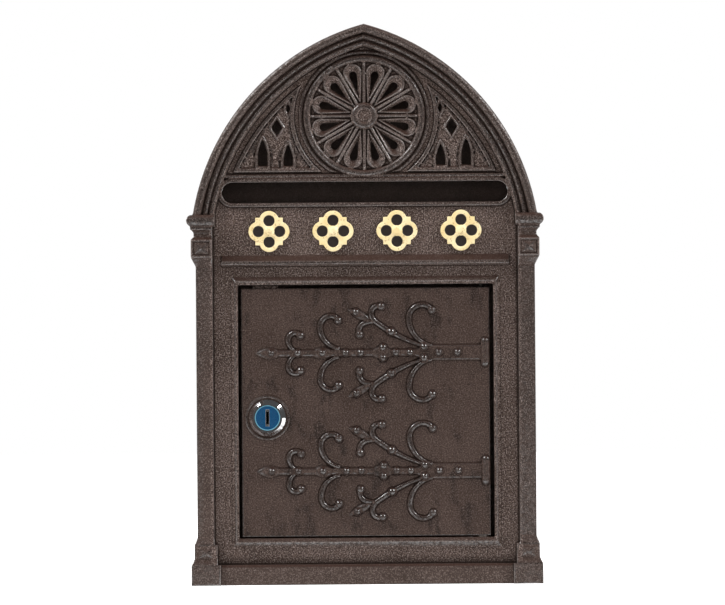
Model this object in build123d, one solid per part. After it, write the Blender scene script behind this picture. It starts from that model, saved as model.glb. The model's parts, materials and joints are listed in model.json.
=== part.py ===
from build123d import *
import math
import os

# Wall letterbox: a cast-iron front with a pointed arch, a sheet-steel casing and a lockable door.
# Millimetres. X runs to the viewer's right, the front faces -Y, the wall is at y = 0, and heights are
# measured from the bottom edge of the plinth. At the end every piece is lowered, so that the origin is
# the middle of the four wall screws.

# Outline of the front casting
APEX_HEIGHT = 430.6
SPRING_HEIGHT = 284.6        # where the arch stands on the capitals
ARCH_HALF_WIDTH = 132.3      # at the springing
ARCH_CENTRE_OFFSET = 47.5    # each arc's centre lies this far past the middle
ARCH_OVERHANG = 2.0          # how far the arch's foot stands past a pilaster shaft
PLATE = 5.0                  # thickness of the casting behind its field
CASING_DEPTH = 70.0          # wall to the back of the casting

# Arch mouldings, set in from the arch's outer edge; rises are heights over the field
ROLL_WIDTH = 6.2
ROLL_RISE = 9.8
RIB_WIDTH = 3.2
OUTER_RIB_INSET = 9.2
OUTER_RIB_RISE = 7.6
INNER_RIB_INSET = 13.9
INNER_RIB_RISE = 6.2
MOULDING_WIDTH = 16.2

# Pilasters; a reach is how far a course stands out from the shaft
SHAFT_WIDTH = 12.8
SHAFT_RISE = 6.0
PLINTH_HEIGHT = 15.5
PLINTH_REACH = 4.7
PLINTH_INNER_REACH = 5.0
PLINTH_SPLAY = 5.0           # height of the slope from plinth to die
DIE_TOP = 31.0
DIE_REACH = 2.3
DIE_CHAMFER = 6.0
BLOCK_HEIGHT = 14.0
BLOCK_REACH = 3.6
BLOCK_CHAMFER = 7.0
NECK_HEIGHT = 7.5
NECK_REACH = 1.4
FILLET_HEIGHT = 2.5
FILLET_REACH = 4.0
TORUS_HEIGHT = 8.8
TORUS_REACH = 6.9
TORUS_INNER_REACH = 2.0
NAILHEAD_MARGIN = 2.2        # flat border round each pyramid
NAILHEAD_RISE = 2.4
NAILHEAD_TIP = 0.5           # width left at the top of a pyramid

# Plinth rail and sill
RAIL_RISE = 7.0
RAIL_BEVEL = 2.0
SILL_TOP = 253.5
SILL_HEIGHT = 8.5
SILL_INSET = 7.0             # shaft's inner face to the sill's end
SILL_RISE = 5.0
SILL_NOSE = 2.4              # height of the sill's upright nose

# Posting slot
SLOT_LENGTH = 220.0
SLOT_HEIGHT = 16.0
SLOT_CENTRE = 301.5
SLOT_RIM = 3.0
SLOT_RIM_RISE = 2.2
SLOT_RIM_ROUND = 0.9

# Door opening and its surround
JAMB = 19.3                  # shaft's inner face to the opening's edge
OPENING_HEIGHT = 194.8
OPENING_BOTTOM = 35.6
SURROUND_SIDE = 5.0
SURROUND_TOP = 6.6
SURROUND_BOTTOM = 7.6
SURROUND_RISE = 3.0
SURROUND_LIP = 1.0           # height left at the opening's edge
RIDGE_SHARE = 0.6            # the ridge's place across the surround, from outside

# Rose window
ROSE_HEIGHT = 360.0
RING_RADIUS = 44.2
RING_WIDTH = 4.4
RING_RISE = 3.4
BEAD_RADIUS = 49.0
BEAD_WIDTH = 2.0
BEAD_RISE = 1.6
HUB_RADIUS = 10.0
HUB_RISE = 4.0
BUTTON_RADIUS = 4.6
BUTTON_RISE = 3.2
BUTTON_DOME = 0.8            # height of the button's rounded top
PETALS = 12
PETAL_TIP = 11.5             # distances from the rose's middle
PETAL_CENTRE = 34.3
PETAL_RADIUS = 6.0
PETAL_RIM = 1.0
PETAL_RIM_RISE = 1.4
HOLE_TIP = 18.0
HOLE_CENTRE = 32.2
HOLE_RADIUS = 3.0
FUNNEL_DEPTH = 3.2
SPOKE_WIDTH = 2.4
SPOKE_TOP = 1.6              # width of a spoke's flat top
SPOKE_RISE = 1.8

# Bands under the rose, and the spandrels beside it
BAND_WIDTH = 2.4
BAND_RISE = 1.8
BAND_HEIGHT = 314.2
SPANDREL_INSET = 21.2        # from the arch's outer edge
SPANDREL_ROSE_RADIUS = 54.0
SPANDREL_BASE = 317.4
SPANDREL_BEAD = 2.8
SPANDREL_BEAD_RISE = 1.8
SPANDREL_RECESS = 2.4
TRACERY_RIM = 2.2            # frame round each opening
TRACERY_RISE = 0.3
TRACERY_GROOVE = 1.0         # between the frames and the bars beside them
LANCET_HALF_WIDTH = 3.7
LANCET_BOTTOM = 322.0
OUTER_LANCET_PLACE = 78.3
OUTER_LANCET_TIP = 344.0
INNER_LANCET_PLACE = 58.6
INNER_LANCET_TIP = 340.0
LANCET_HEAD = 15.5           # height of a lancet's pointed part
KITE_PLACE = 67.2
KITE_HEIGHT = 351.5
KITE_HALF_WIDTH = 4.3
KITE_HALF_HEIGHT = 6.6
EYE_PLACE = 58.4
EYE_HEIGHT = 366.0
EYE_HALF_WIDTH = 1.8
EYE_HALF_HEIGHT = 4.0

# Frieze ornaments
ORNAMENTS = 4
ORNAMENT_PITCH = 49.2
ORNAMENT_HEIGHT = 271.6
LOBE_RADIUS = 7.6
LOBE_REACH = 8.2             # middle of the ornament to the middle of a lobe
POINT_REACH = 10.6           # half side of the square whose corners stand between the lobes
ORNAMENT_RISE = 2.2
ORNAMENT_EYE = 4.4           # sunk round in each lobe
ORNAMENT_EYE_DEPTH = 1.2
ORNAMENT_BOSS = 4.4
ORNAMENT_BOSS_RISE = 1.6
PEG_RADIUS = 2.0
PEG_LENGTH = 3.0
PEG_CLEARANCE = 0.1

# Sheet-steel casing
SHEET = 1.5
CASING_INSET = 12.0          # from the shaft's outer face
CASING_FLOOR = 10.0
SHEET_CLEARANCE = 0.15
LIP_DEPTH = 14.0
LIP_BOTTOM = 30.0
LIP_LENGTH = 240.0
LIP_INSET = 23.3             # casing's side to the end of the floor's lip
WALL_SCREW_SPACING_X = 160.0
WALL_SCREW_SPACING_Z = 240.0
WALL_SCREW_CENTRE = 160.0    # height of the pattern's middle
WALL_HOLE_RADIUS = 3.0

# Casing screws, their lugs, and the casing rivets
SCREW_RADIUS = 2.5
SCREW_LENGTH = 12.0
SCREW_HEAD_RADIUS = 4.7
SCREW_HEAD_HEIGHT = 3.0
SCREW_SLOT_WIDTH = 1.3
SCREW_SLOT_DEPTH = 1.4
SCREW_CLEARANCE = 0.1
WASHER_RADIUS = 5.5
WASHER_THICKNESS = 1.0
LUG = 14.0
LUG_LENGTH = 13.0
LUG_ROOT = 1.0               # how far a lug is sunk into the plate
SCREW_HEIGHTS = (56.0, 168.0, 262.0)
FLOOR_SCREW_PLACE = 56.0
RIVET_RADIUS = 2.0
RIVET_HEAD_RADIUS = 4.0
RIVET_HEAD_HEIGHT = 1.6
RIVET_TAIL_RADIUS = 3.0
RIVET_TAIL_HEIGHT = 2.0
RIVET_HEIGHTS = (62.0, 150.0, 238.0)
FLOOR_RIVET_PLACE = 62.0

# Door, its gaps and its hinge
LATCH_GAP = 2.3
HINGE_GAP = 3.0
TOP_GAP = 2.6
BOTTOM_GAP = 1.2
STOP_CLEARANCE = 0.3
HINGE_INSET = 6.2            # door's hinge edge to the axis
HINGE_BEHIND = 4.0           # door's face to the axis
HINGE_BLOCK_WIDTH = 12.0
HINGE_BLOCK_HEIGHT = 22.0
HINGE_BLOCK_BEHIND = 6.5     # axis to the back of the block
PIN_RADIUS = 2.0
PIN_IN_DOOR = 18.0
PIN_IN_FRAME = 7.0
PIN_CLEARANCE = 0.05
PIN_GROOVE = 28.0            # extra bore for laying in the upper pin
HINGE_LUG_WIDTH = 18.0
HINGE_LUG_HEIGHT = 11.0
HINGE_LUG_DEPTH = 6.0
HINGE_WASHER_RADIUS = 4.6
SET_SCREW_RADIUS = 1.5
STOP_WIDTH = 19.5
STOP_INSET = 21.0            # opening's latch edge to the middle of the stop
STOP_OVERLAP = 7.0
STOP_HEIGHT = 16.0
STOP_DEPTH = 4.0

# Strap ornament on the door
STRAP_OFFSET = 45.5          # door's middle to each strap's axis
STRAP_MARGIN = 11.4          # strap's tip to the door's latch edge
STRAP_RISE = 1.8
BAND_HALF = 5.8
STEM_HALF = 2.6
SCROLL_WIDTH = 3.6
BALL_RADIUS = 2.8
BRANCH_BOSS_RADIUS = 3.4
KNUCKLE_HALF_LENGTH = 11.5
KNUCKLE_RADIUS = 3.1
KNUCKLE_PLACE = -3.4
DOME_RADIUS = 2.7
DOME_RISE = 1.7
# The strap's drawing, which is scaled to the door's width; places run from the door's hinge edge, leftwards
# negative, and from the axis. First where the band starts and ends, where its neck ends and the stem ends.
BAND_PLACES = (-6.0, -46.0, -57.0, -165.0)
BRANCH_BOSS = (-75.7, 16.0)
# start, heading and (radius, turn) of each tangent arc, for the half above the axis
SCROLLS = (
    ((-44.7, 5.5), 170, ((21.0, -80), (10.5, -90), (8.5, -60))),
    ((-50.7, 5.0), 163, ((119.0, -20), (8.5, -53), (5.5, -115))),
    ((-87.7, 23.7), 178, ((40.0, 10), (6.8, 105))),
    ((-115.7, 3.2), 172, ((17.0, -82), (8.5, -90), (6.0, -65))),
    ((-150.2, 2.0), 150, ((9.5, -60), (5.5, -90), (4.5, -60))),
)
# ends and half width of each leaf
AXIS_LEAVES = (((-73.0, 0.0), (-93.0, 0.0), 7.0), ((-119.0, 0.0), (-138.0, 0.0), 5.4))
BUD_LEAF = ((-159.0, 0.0), (-179.7, 0.0), 5.6)
BRANCH_LEAF = ((-90.0, 24.0), (-108.7, 33.7), 3.5)
AXIS_DOMES = (-24.7, -39.2, -61.2, -72.2, -99.2, -110.7, -128.7, -147.7, -168.2)
PAIR_DOMES = ((-50.4, 4.4), (-82.0, 3.6))
LEAF_DOME = (-102.7, 31.2)

# Lock
LOCK_INSET = 19.9            # door's latch edge to the lock's axis
LOCK_HEIGHT = 91.5           # over the door's bottom edge
LOCK_SEAT_RADIUS = 15.4
LOCK_SEAT_WIDTH = 1.6
LOCK_SEAT_RISE = 0.8
BEZEL_RADIUS = 14.0
BEZEL_EDGE = 0.9
BEZEL_HEIGHT = 3.4
BEZEL_FRONT_RADIUS = 11.4
FACE_RADIUS = 9.7
FACE_CLEARANCE = 0.3
FACE_SETBACK = 0.5
DISC_THICKNESS = 0.8
HEAD_THICKNESS = 1.4
BARREL_RADIUS = 9.3
BARREL_LENGTH = 18.0
BARREL_FLATS = 16.2
LOCK_HOLE_CLEARANCE = 0.15
PLUG_RADIUS = 6.5
PLUG_CLEARANCE = 0.05
AXIAL_CLEARANCE = 0.1
KEY_WIDTH = 2.2
KEY_HEIGHT = 9.4
KEY_DEPTH = 15.0
WAFERS = 5
WAFER_PITCH = 2.5
WAFER_FIRST = 3.0            # plug head's back to the first wafer
WAFER_THICKNESS = 0.9
WAFER_CLEARANCE = 0.1
WAFER_WIDTH = 5.6
WAFER_HEIGHT = 11.0
WAFER_WINDOW_WIDTH = 2.6
WAFER_WINDOW_HEIGHT = 7.0
WAFER_SPRING_RADIUS = 0.4
WAFER_SPRING_LENGTH = 4.2
TAIL_SQUARE = 7.0
TAIL_CLEARANCE = 0.1
STUD_RADIUS = 3.0
STUD_SPARE = 1.5             # stud left past the nut
STOP_WASHER_RADIUS = 9.0
STOP_WASHER_THICKNESS = 1.0
STOP_POST_PLACE = 7.7
STOP_POST_RADIUS = 0.9
STOP_POST_CLEARANCE = 0.2
LOCK_TURN = 90.0
CAM_REACH = 31.0
CAM_WIDTH = 16.0
CAM_THICKNESS = 2.5
SPRING_WASHER_RADIUS = 5.6
SPRING_WASHER_THICKNESS = 1.2
CAM_NUT_FLATS = 10.0
CAM_NUT_HEIGHT = 5.0
LOCK_NUT_FLATS = 24.0
LOCK_NUT_HEIGHT = 5.0
LOCK_WASHER_RADIUS = 12.5
LOCK_WASHER_THICKNESS = 1.2
KEEPER_HALF_HEIGHT = 14.0
KEEPER_INSET = 1.4           # opening's edge to the keeper
KEEPER_WIDTH = 12.0
KEEPER_CLEARANCE = 0.6

# Worked out from the sizes above
PLATE_BACK = -CASING_DEPTH
FIELD_Y = PLATE_BACK - PLATE
ARCH_CENTRE_HEIGHT = (
    ARCH_HALF_WIDTH**2
    + 2 * ARCH_HALF_WIDTH * ARCH_CENTRE_OFFSET
    + SPRING_HEIGHT**2
    - APEX_HEIGHT**2
) / (2 * (SPRING_HEIGHT - APEX_HEIGHT))
ARCH_RADIUS = math.hypot(ARCH_HALF_WIDTH + ARCH_CENTRE_OFFSET, SPRING_HEIGHT - ARCH_CENTRE_HEIGHT)
SHAFT_HALF_SPAN = ARCH_HALF_WIDTH - ARCH_OVERHANG    # middle to the outer face of a pilaster shaft
SHAFT_INNER = SHAFT_HALF_SPAN - SHAFT_WIDTH
SILL_HALF_LENGTH = SHAFT_INNER - SILL_INSET
BLOCK_TOP = SPRING_HEIGHT - TORUS_HEIGHT - FILLET_HEIGHT - NECK_HEIGHT
BLOCK_BOTTOM = BLOCK_TOP - BLOCK_HEIGHT
OPENING_RIGHT = SHAFT_INNER - JAMB
OPENING_LEFT = -OPENING_RIGHT
OPENING_TOP = OPENING_BOTTOM + OPENING_HEIGHT
DOOR_LEFT = OPENING_LEFT + LATCH_GAP
DOOR_RIGHT = OPENING_RIGHT - HINGE_GAP
DOOR_BOTTOM = OPENING_BOTTOM + BOTTOM_GAP
DOOR_TOP = OPENING_TOP - TOP_GAP
DOOR_BACK = PLATE_BACK - STOP_CLEARANCE
STRAP_SCALE = (DOOR_RIGHT - DOOR_LEFT - STRAP_MARGIN) / -BUD_LEAF[1][0]
HINGE_X = DOOR_RIGHT - HINGE_INSET
HINGE_Y = FIELD_Y + HINGE_BEHIND
LOCK_X = DOOR_LEFT + LOCK_INSET
LOCK_Z = DOOR_BOTTOM + LOCK_HEIGHT
BARREL_END = FIELD_Y + BARREL_LENGTH
FACE_FRONT = FIELD_Y - BEZEL_HEIGHT + FACE_SETBACK
HEAD_FRONT = FACE_FRONT + DISC_THICKNESS
HEAD_BACK = HEAD_FRONT + HEAD_THICKNESS
STOP_WASHER_FRONT = BARREL_END + AXIAL_CLEARANCE
CAM_FRONT = STOP_WASHER_FRONT + STOP_WASHER_THICKNESS
CAM_BACK = CAM_FRONT + CAM_THICKNESS
CAM_NUT_FRONT = CAM_BACK + SPRING_WASHER_THICKNESS
CAM_NUT_BACK = CAM_NUT_FRONT + CAM_NUT_HEIGHT
CASING_HALF = SHAFT_HALF_SPAN - CASING_INSET
CASING_RADIUS = math.hypot(CASING_HALF + ARCH_CENTRE_OFFSET, SPRING_HEIGHT - ARCH_CENTRE_HEIGHT)


# Helpers


def rect(left, right, bottom, top):
    return Pos((left + right) / 2, (bottom + top) / 2) * Rectangle(right - left, top - bottom)


def face_of(*edges):
    return make_face(Curve() + list(edges))


def front_plane(y):
    """A plane seen from the front: its x is X and its y is Z."""
    return Plane((0, y, 0), x_dir=(1, 0, 0), z_dir=(0, -1, 0))


def prism(sketch, front, back):
    """A front-view sketch as a solid from y = front to y = back."""
    return extrude(front_plane(back) * sketch, back - front)


def relief(sketch, low, high):
    """A front-view sketch as a solid between two heights over the casting's field."""
    return prism(sketch, FIELD_Y - high, FIELD_Y - low)


def slope(lower, upper, low, high):
    """A solid whose outline changes from one front-view sketch to another between two heights."""
    return loft([front_plane(FIELD_Y - low) * lower, front_plane(FIELD_Y - high) * upper], ruled=True)


def along_x(profile, left, right):
    """A profile of (height over the field, z) as a bar from x = left to x = right."""
    plane = Plane((right, FIELD_Y, 0), x_dir=(0, -1, 0), z_dir=(-1, 0, 0))
    return extrude(plane * profile, right - left)


def turned(profile, x, z, sweep=360):
    """A profile of (radius, height over the field) turned about an axis parallel to Y."""
    plane = Plane((x, FIELD_Y, z), x_dir=(1, 0, 0), z_dir=(0, 0, -1))
    return revolve(plane * profile, Axis((x, FIELD_Y, z), (0, -1, 0)), sweep)


def both_sides(shape):
    return [shape, mirror(shape, about=Plane.YZ)]


def ring(x, z, outer, inner, front, back):
    return prism(Pos(x, z) * (Circle(outer) - Circle(inner)), front, back)


def arch_outline(half_width, floor, radius):
    """Straight sides up to a pointed arch, whose arcs share the arch's two centres."""

    def on_arc(angle):
        return -ARCH_CENTRE_OFFSET + radius * math.cos(angle), ARCH_CENTRE_HEIGHT + radius * math.sin(angle)

    start = math.acos((half_width + ARCH_CENTRE_OFFSET) / radius)
    end = math.acos(ARCH_CENTRE_OFFSET / radius)
    foot, middle, apex = on_arc(start), on_arc((start + end) / 2), on_arc(end)
    return face_of(
        Polyline((-foot[0], foot[1]), (-half_width, floor), (half_width, floor), foot),
        ThreePointArc(foot, middle, apex),
        ThreePointArc(apex, (-middle[0], middle[1]), (-foot[0], foot[1])),
    )


# Front casting


def arch_mouldings():
    """Outer roll and two ribs that step down towards the field."""
    outer = ARCH_RADIUS
    rib = RIB_WIDTH / 2
    roll = ROLL_WIDTH / 2
    section = rect(outer - MOULDING_WIDTH, outer, -PLATE, INNER_RIB_RISE - rib)
    section += rect(outer - OUTER_RIB_INSET - rib, outer, 0, OUTER_RIB_RISE - rib)
    section += rect(outer - ROLL_WIDTH, outer, 0, ROLL_RISE - roll)
    section += Pos(outer - INNER_RIB_INSET, INNER_RIB_RISE - rib) * Circle(rib)
    section += Pos(outer - OUTER_RIB_INSET, OUTER_RIB_RISE - rib) * Circle(rib)
    section += Pos(outer - roll, ROLL_RISE - roll) * Circle(roll)
    arc = turned(section, -ARCH_CENTRE_OFFSET, ARCH_CENTRE_HEIGHT, 90)
    keep = relief(rect(0, SHAFT_HALF_SPAN + PLINTH_REACH, SPRING_HEIGHT, APEX_HEIGHT), -PLATE, ROLL_RISE)
    return both_sides(arc & keep)


def moulded_edge(shaft, back):
    """Region from a straight back line to the pilaster's moulded edge, upwards along y."""
    block = shaft + BLOCK_REACH
    fillet_edge = shaft + FILLET_REACH
    torus_bottom = SPRING_HEIGHT - TORUS_HEIGHT
    neck_top = torus_bottom - FILLET_HEIGHT
    return face_of(
        Polyline(
            (back, SPRING_HEIGHT),
            (back, 0),
            (shaft + PLINTH_REACH, 0),
            (shaft + PLINTH_REACH, PLINTH_HEIGHT),
            (shaft + DIE_REACH, PLINTH_HEIGHT + PLINTH_SPLAY),
            (shaft + DIE_REACH, DIE_TOP),
            (shaft, DIE_TOP + DIE_CHAMFER),
            (shaft, BLOCK_BOTTOM - BLOCK_CHAMFER),
            (block, BLOCK_BOTTOM),
            (block, BLOCK_TOP),
        ),
        ThreePointArc(
            (block, BLOCK_TOP), (shaft + NECK_REACH, (BLOCK_TOP + neck_top) / 2), (fillet_edge, neck_top)
        ),
        Line((fillet_edge, neck_top), (fillet_edge, torus_bottom)),
        ThreePointArc(
            (fillet_edge, torus_bottom),
            (shaft + TORUS_REACH, torus_bottom + TORUS_HEIGHT / 2),
            (fillet_edge, SPRING_HEIGHT),
        ),
        Line((fillet_edge, SPRING_HEIGHT), (back, SPRING_HEIGHT)),
    )


def nailhead(left, right, bottom, top, rise):
    """A low pyramid inside a flat border."""
    base = rect(
        left + NAILHEAD_MARGIN, right - NAILHEAD_MARGIN, bottom + NAILHEAD_MARGIN, top - NAILHEAD_MARGIN
    )
    point = Pos((left + right) / 2, (bottom + top) / 2) * Rectangle(NAILHEAD_TIP, NAILHEAD_TIP)
    return slope(base, point, rise, rise + NAILHEAD_RISE)


def pilasters():
    """Mouldings that run round the front and the outer side of each pilaster."""
    die_inner = SHAFT_INNER - PLINTH_INNER_REACH / 2
    front_view = moulded_edge(SHAFT_HALF_SPAN, SHAFT_INNER)
    front_view += rect(SHAFT_INNER - PLINTH_INNER_REACH, SHAFT_INNER, 0, PLINTH_HEIGHT)
    front_view += rect(die_inner, SHAFT_INNER, PLINTH_HEIGHT, DIE_TOP)
    torus_bottom = SPRING_HEIGHT - TORUS_HEIGHT
    front_view += rect(SHAFT_INNER - TORUS_INNER_REACH, SHAFT_INNER, torus_bottom, SPRING_HEIGHT)
    reach = SHAFT_HALF_SPAN + TORUS_REACH
    side_view = moulded_edge(SHAFT_RISE, -PLATE)
    body = relief(front_view, -PLATE, SHAFT_RISE + TORUS_REACH) & along_x(side_view, 0, reach)
    body += nailhead(
        SHAFT_INNER, SHAFT_HALF_SPAN + BLOCK_REACH, BLOCK_BOTTOM, BLOCK_TOP, SHAFT_RISE + BLOCK_REACH
    )
    body += nailhead(
        die_inner,
        SHAFT_HALF_SPAN + DIE_REACH,
        PLINTH_HEIGHT + PLINTH_SPLAY / 2,
        DIE_TOP,
        SHAFT_RISE + DIE_REACH,
    )
    return both_sides(body)


def plinth_rail():
    section = face_of(
        Polyline(
            (0, 0),
            (RAIL_RISE, 0),
            (RAIL_RISE, PLINTH_HEIGHT - RAIL_BEVEL),
            (RAIL_RISE - RAIL_BEVEL, PLINTH_HEIGHT),
            (0, PLINTH_HEIGHT),
            (0, 0),
        )
    )
    return along_x(section, -SHAFT_INNER, SHAFT_INNER)


def sill():
    bottom = SILL_TOP - SILL_HEIGHT
    section = face_of(
        Polyline(
            (0, bottom),
            (SILL_RISE / 2, bottom),
            (SILL_RISE, bottom + SILL_NOSE / 2),
            (SILL_RISE, bottom + SILL_NOSE * 3 / 2),
            (0, SILL_TOP),
            (0, bottom),
        )
    )
    return along_x(section, -SILL_HALF_LENGTH, SILL_HALF_LENGTH)


def opening():
    return rect(OPENING_LEFT, OPENING_RIGHT, OPENING_BOTTOM, OPENING_TOP)


def surround_rect(share):
    """Rectangle that lies a share of the way from the opening's edge to the surround's outer edge."""
    return rect(
        OPENING_LEFT - share * SURROUND_SIDE,
        OPENING_RIGHT + share * SURROUND_SIDE,
        OPENING_BOTTOM - share * SURROUND_BOTTOM,
        OPENING_TOP + share * SURROUND_TOP,
    )


def door_surround():
    """A ridge round the opening that slopes to the field outside and to a lip inside."""
    ridge = surround_rect(1 - RIDGE_SHARE)
    return slope(surround_rect(1), ridge, 0, SURROUND_RISE) - slope(
        opening(), ridge, SURROUND_LIP, SURROUND_RISE
    )


def slot_shape(margin):
    return Pos(0, SLOT_CENTRE) * SlotOverall(SLOT_LENGTH + 2 * margin, SLOT_HEIGHT + 2 * margin)


def slot_rim():
    rim = relief(slot_shape(SLOT_RIM), 0, SLOT_RIM_RISE)
    top = rim.faces().sort_by(Axis.Y)[0]
    return fillet(top.edges(), SLOT_RIM_ROUND)


def half_round(place, width, rise):
    """A bead's cross-section on the field, as a profile of (place, height)."""
    return face_of(
        ThreePointArc((place - width / 2, 0), (place, rise), (place + width / 2, 0)),
        Line((place + width / 2, 0), (place - width / 2, 0)),
    )


def bands():
    """One bead under the rose, from arch to arch."""
    inner = ARCH_RADIUS - MOULDING_WIDTH
    half = math.sqrt(inner**2 - (BAND_HEIGHT - ARCH_CENTRE_HEIGHT) ** 2) - ARCH_CENTRE_OFFSET
    section = face_of(
        ThreePointArc(
            (0, BAND_HEIGHT - BAND_WIDTH / 2), (BAND_RISE, BAND_HEIGHT), (0, BAND_HEIGHT + BAND_WIDTH / 2)
        ),
        Line((0, BAND_HEIGHT + BAND_WIDTH / 2), (0, BAND_HEIGHT - BAND_WIDTH / 2)),
    )
    return along_x(section, -half, half)


def rose_rings():
    """Ring, thin outer bead, and the hub with its button."""
    main_ring = turned(half_round(RING_RADIUS, RING_WIDTH, RING_RISE), 0, ROSE_HEIGHT)
    bead = turned(half_round(BEAD_RADIUS, BEAD_WIDTH, BEAD_RISE), 0, ROSE_HEIGHT)
    reach = BEAD_RADIUS + BEAD_WIDTH
    above = relief(rect(-reach, reach, SPANDREL_BASE, ROSE_HEIGHT + reach), 0, BEAD_RISE)
    torus_width = HUB_RADIUS - BUTTON_RADIUS
    hub = turned(half_round(HUB_RADIUS - torus_width / 2, torus_width, HUB_RISE), 0, ROSE_HEIGHT)
    wall = BUTTON_RISE - BUTTON_DOME
    radius = (BUTTON_RADIUS**2 + BUTTON_DOME**2) / (2 * BUTTON_DOME)
    lean = math.asin(BUTTON_RADIUS / radius) / 2
    button = turned(
        face_of(
            Polyline((0, BUTTON_RISE), (0, 0), (BUTTON_RADIUS, 0), (BUTTON_RADIUS, wall)),
            ThreePointArc(
                (BUTTON_RADIUS, wall),
                (radius * math.sin(lean), BUTTON_RISE - radius * (1 - math.cos(lean))),
                (0, BUTTON_RISE),
            ),
        ),
        0,
        ROSE_HEIGHT,
    )
    return [main_ring, bead & above, hub, button]


def teardrop(tip, centre, radius):
    """A point at tip and a round end, along x from the rose's middle."""
    lean = math.acos(radius / (centre - tip))
    touch = (centre - radius * math.cos(lean), radius * math.sin(lean))
    drop = face_of(
        Line((tip, 0), touch),
        ThreePointArc(touch, (centre + radius, 0), (touch[0], -touch[1])),
        Line((touch[0], -touch[1]), (tip, 0)),
    )
    return Pos(0, ROSE_HEIGHT) * drop


def round_the_rose(shape, first):
    """Copies of a shape, one to each petal, from the angle first."""
    step = 360 / PETALS
    axis = Axis((0, 0, ROSE_HEIGHT), (0, 1, 0))
    return [shape.rotate(axis, first + step * i) for i in range(PETALS)]


def petal_rims():
    rim = relief(
        teardrop(PETAL_TIP - PETAL_RIM, PETAL_CENTRE, PETAL_RADIUS + PETAL_RIM), 0, PETAL_RIM_RISE
    )
    return round_the_rose(rim, 180 / PETALS)


def petal_holes():
    """Funnels that narrow from each rim to a hole right through."""
    hole = teardrop(HOLE_TIP, HOLE_CENTRE, HOLE_RADIUS)
    funnel = slope(
        hole, teardrop(PETAL_TIP, PETAL_CENTRE, PETAL_RADIUS), PETAL_RIM_RISE - FUNNEL_DEPTH, PETAL_RIM_RISE
    )
    through = relief(hole, -PLATE, PETAL_RIM_RISE - FUNNEL_DEPTH)
    return round_the_rose(funnel + through, 180 / PETALS)


def spokes():
    """Bars with sloping sides between the petals, from the hub to the ring."""
    start = HUB_RADIUS - BEAD_WIDTH
    end = RING_RADIUS - RING_WIDTH / 4

    def bar(width):
        return Pos(0, ROSE_HEIGHT) * rect(start, end, -width / 2, width / 2)

    return round_the_rose(slope(bar(SPOKE_WIDTH), bar(SPOKE_TOP), 0, SPOKE_RISE), 0)


def spandrel(inset):
    """The right-hand curved triangle between rose and arch, drawn in by inset on every side."""
    field = Pos(-ARCH_CENTRE_OFFSET, ARCH_CENTRE_HEIGHT) * Circle(ARCH_RADIUS - SPANDREL_INSET - inset)
    field = field & rect(0, ARCH_HALF_WIDTH, SPANDREL_BASE + inset, APEX_HEIGHT)
    return field - Pos(0, ROSE_HEIGHT) * Circle(SPANDREL_ROSE_RADIUS + inset)


def lancet(place, tip, rim):
    """A pointed opening, grown by rim on every side, whose arcs go on from its upright sides."""
    half = LANCET_HALF_WIDTH + rim
    head = LANCET_HEAD + rim
    shoulder = tip - LANCET_HEAD
    bottom = LANCET_BOTTOM - rim
    radius = (half**2 + head**2) / (2 * half)
    lean = math.asin(head / radius) / 2
    flank = half - radius * (1 - math.cos(lean))
    flank_rise = radius * math.sin(lean)
    outline = face_of(
        Polyline((-half, 0), (-half, bottom - shoulder), (half, bottom - shoulder), (half, 0)),
        ThreePointArc((half, 0), (flank, flank_rise), (0, head)),
        ThreePointArc((0, head), (-flank, flank_rise), (-half, 0)),
    )
    return Pos(place, shoulder) * outline


def diamond(place, height, half_width, half_height, rim):
    wide = half_width + rim
    tall = half_height + rim
    corners = ((0, tall), (wide, 0), (0, -tall), (-wide, 0))
    return Pos(place, height) * face_of(Polyline(*corners, corners[0]))


def tracery_openings(rim):
    return [
        lancet(OUTER_LANCET_PLACE, OUTER_LANCET_TIP, rim),
        lancet(INNER_LANCET_PLACE, INNER_LANCET_TIP, rim),
        diamond(KITE_PLACE, KITE_HEIGHT, KITE_HALF_WIDTH, KITE_HALF_HEIGHT, rim),
        diamond(EYE_PLACE, EYE_HEIGHT, EYE_HALF_WIDTH, EYE_HALF_HEIGHT, rim),
    ]


def casing_stations(heights, floor_place, y):
    """Planes on the casing's outer face, facing outwards, for what goes through its walls."""
    stations = []
    for height in heights:
        stations.append(Plane((CASING_HALF, y, height), x_dir=(0, 1, 0), z_dir=(1, 0, 0)))
        stations.append(Plane((-CASING_HALF, y, height), x_dir=(0, 1, 0), z_dir=(-1, 0, 0)))
    for place in (floor_place, -floor_place):
        stations.append(Plane((place, y, CASING_FLOOR), x_dir=(0, 1, 0), z_dir=(0, 0, -1)))
    return stations


def screw_stations():
    return casing_stations(SCREW_HEIGHTS, FLOOR_SCREW_PLACE, PLATE_BACK + LUG / 2)


def rivet_stations():
    return casing_stations(RIVET_HEIGHTS, FLOOR_RIVET_PLACE, -LIP_DEPTH / 2)


def drilled(stations, radius, depth):
    """Holes from the casing's outer face inwards."""
    return [extrude(station * Circle(radius), -depth) for station in stations]


def screw_lugs():
    """Blocks behind the casting, just inside the casing's walls."""
    start = SHEET + SHEET_CLEARANCE
    lug = Pos(-LUG_ROOT / 2, 0, -start - LUG_LENGTH / 2) * Box(LUG + LUG_ROOT, LUG, LUG_LENGTH)
    return [station * lug for station in screw_stations()]


def hinge_lugs():
    left, right = HINGE_X - HINGE_LUG_WIDTH / 2, HINGE_X + HINGE_LUG_WIDTH / 2
    lower = rect(left, right, OPENING_BOTTOM - HINGE_LUG_HEIGHT, OPENING_BOTTOM)
    upper = rect(left, right, OPENING_TOP, OPENING_TOP + HINGE_LUG_HEIGHT)
    return [prism(lug, PLATE_BACK - LUG_ROOT, PLATE_BACK + HINGE_LUG_DEPTH) for lug in (lower, upper)]


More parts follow.
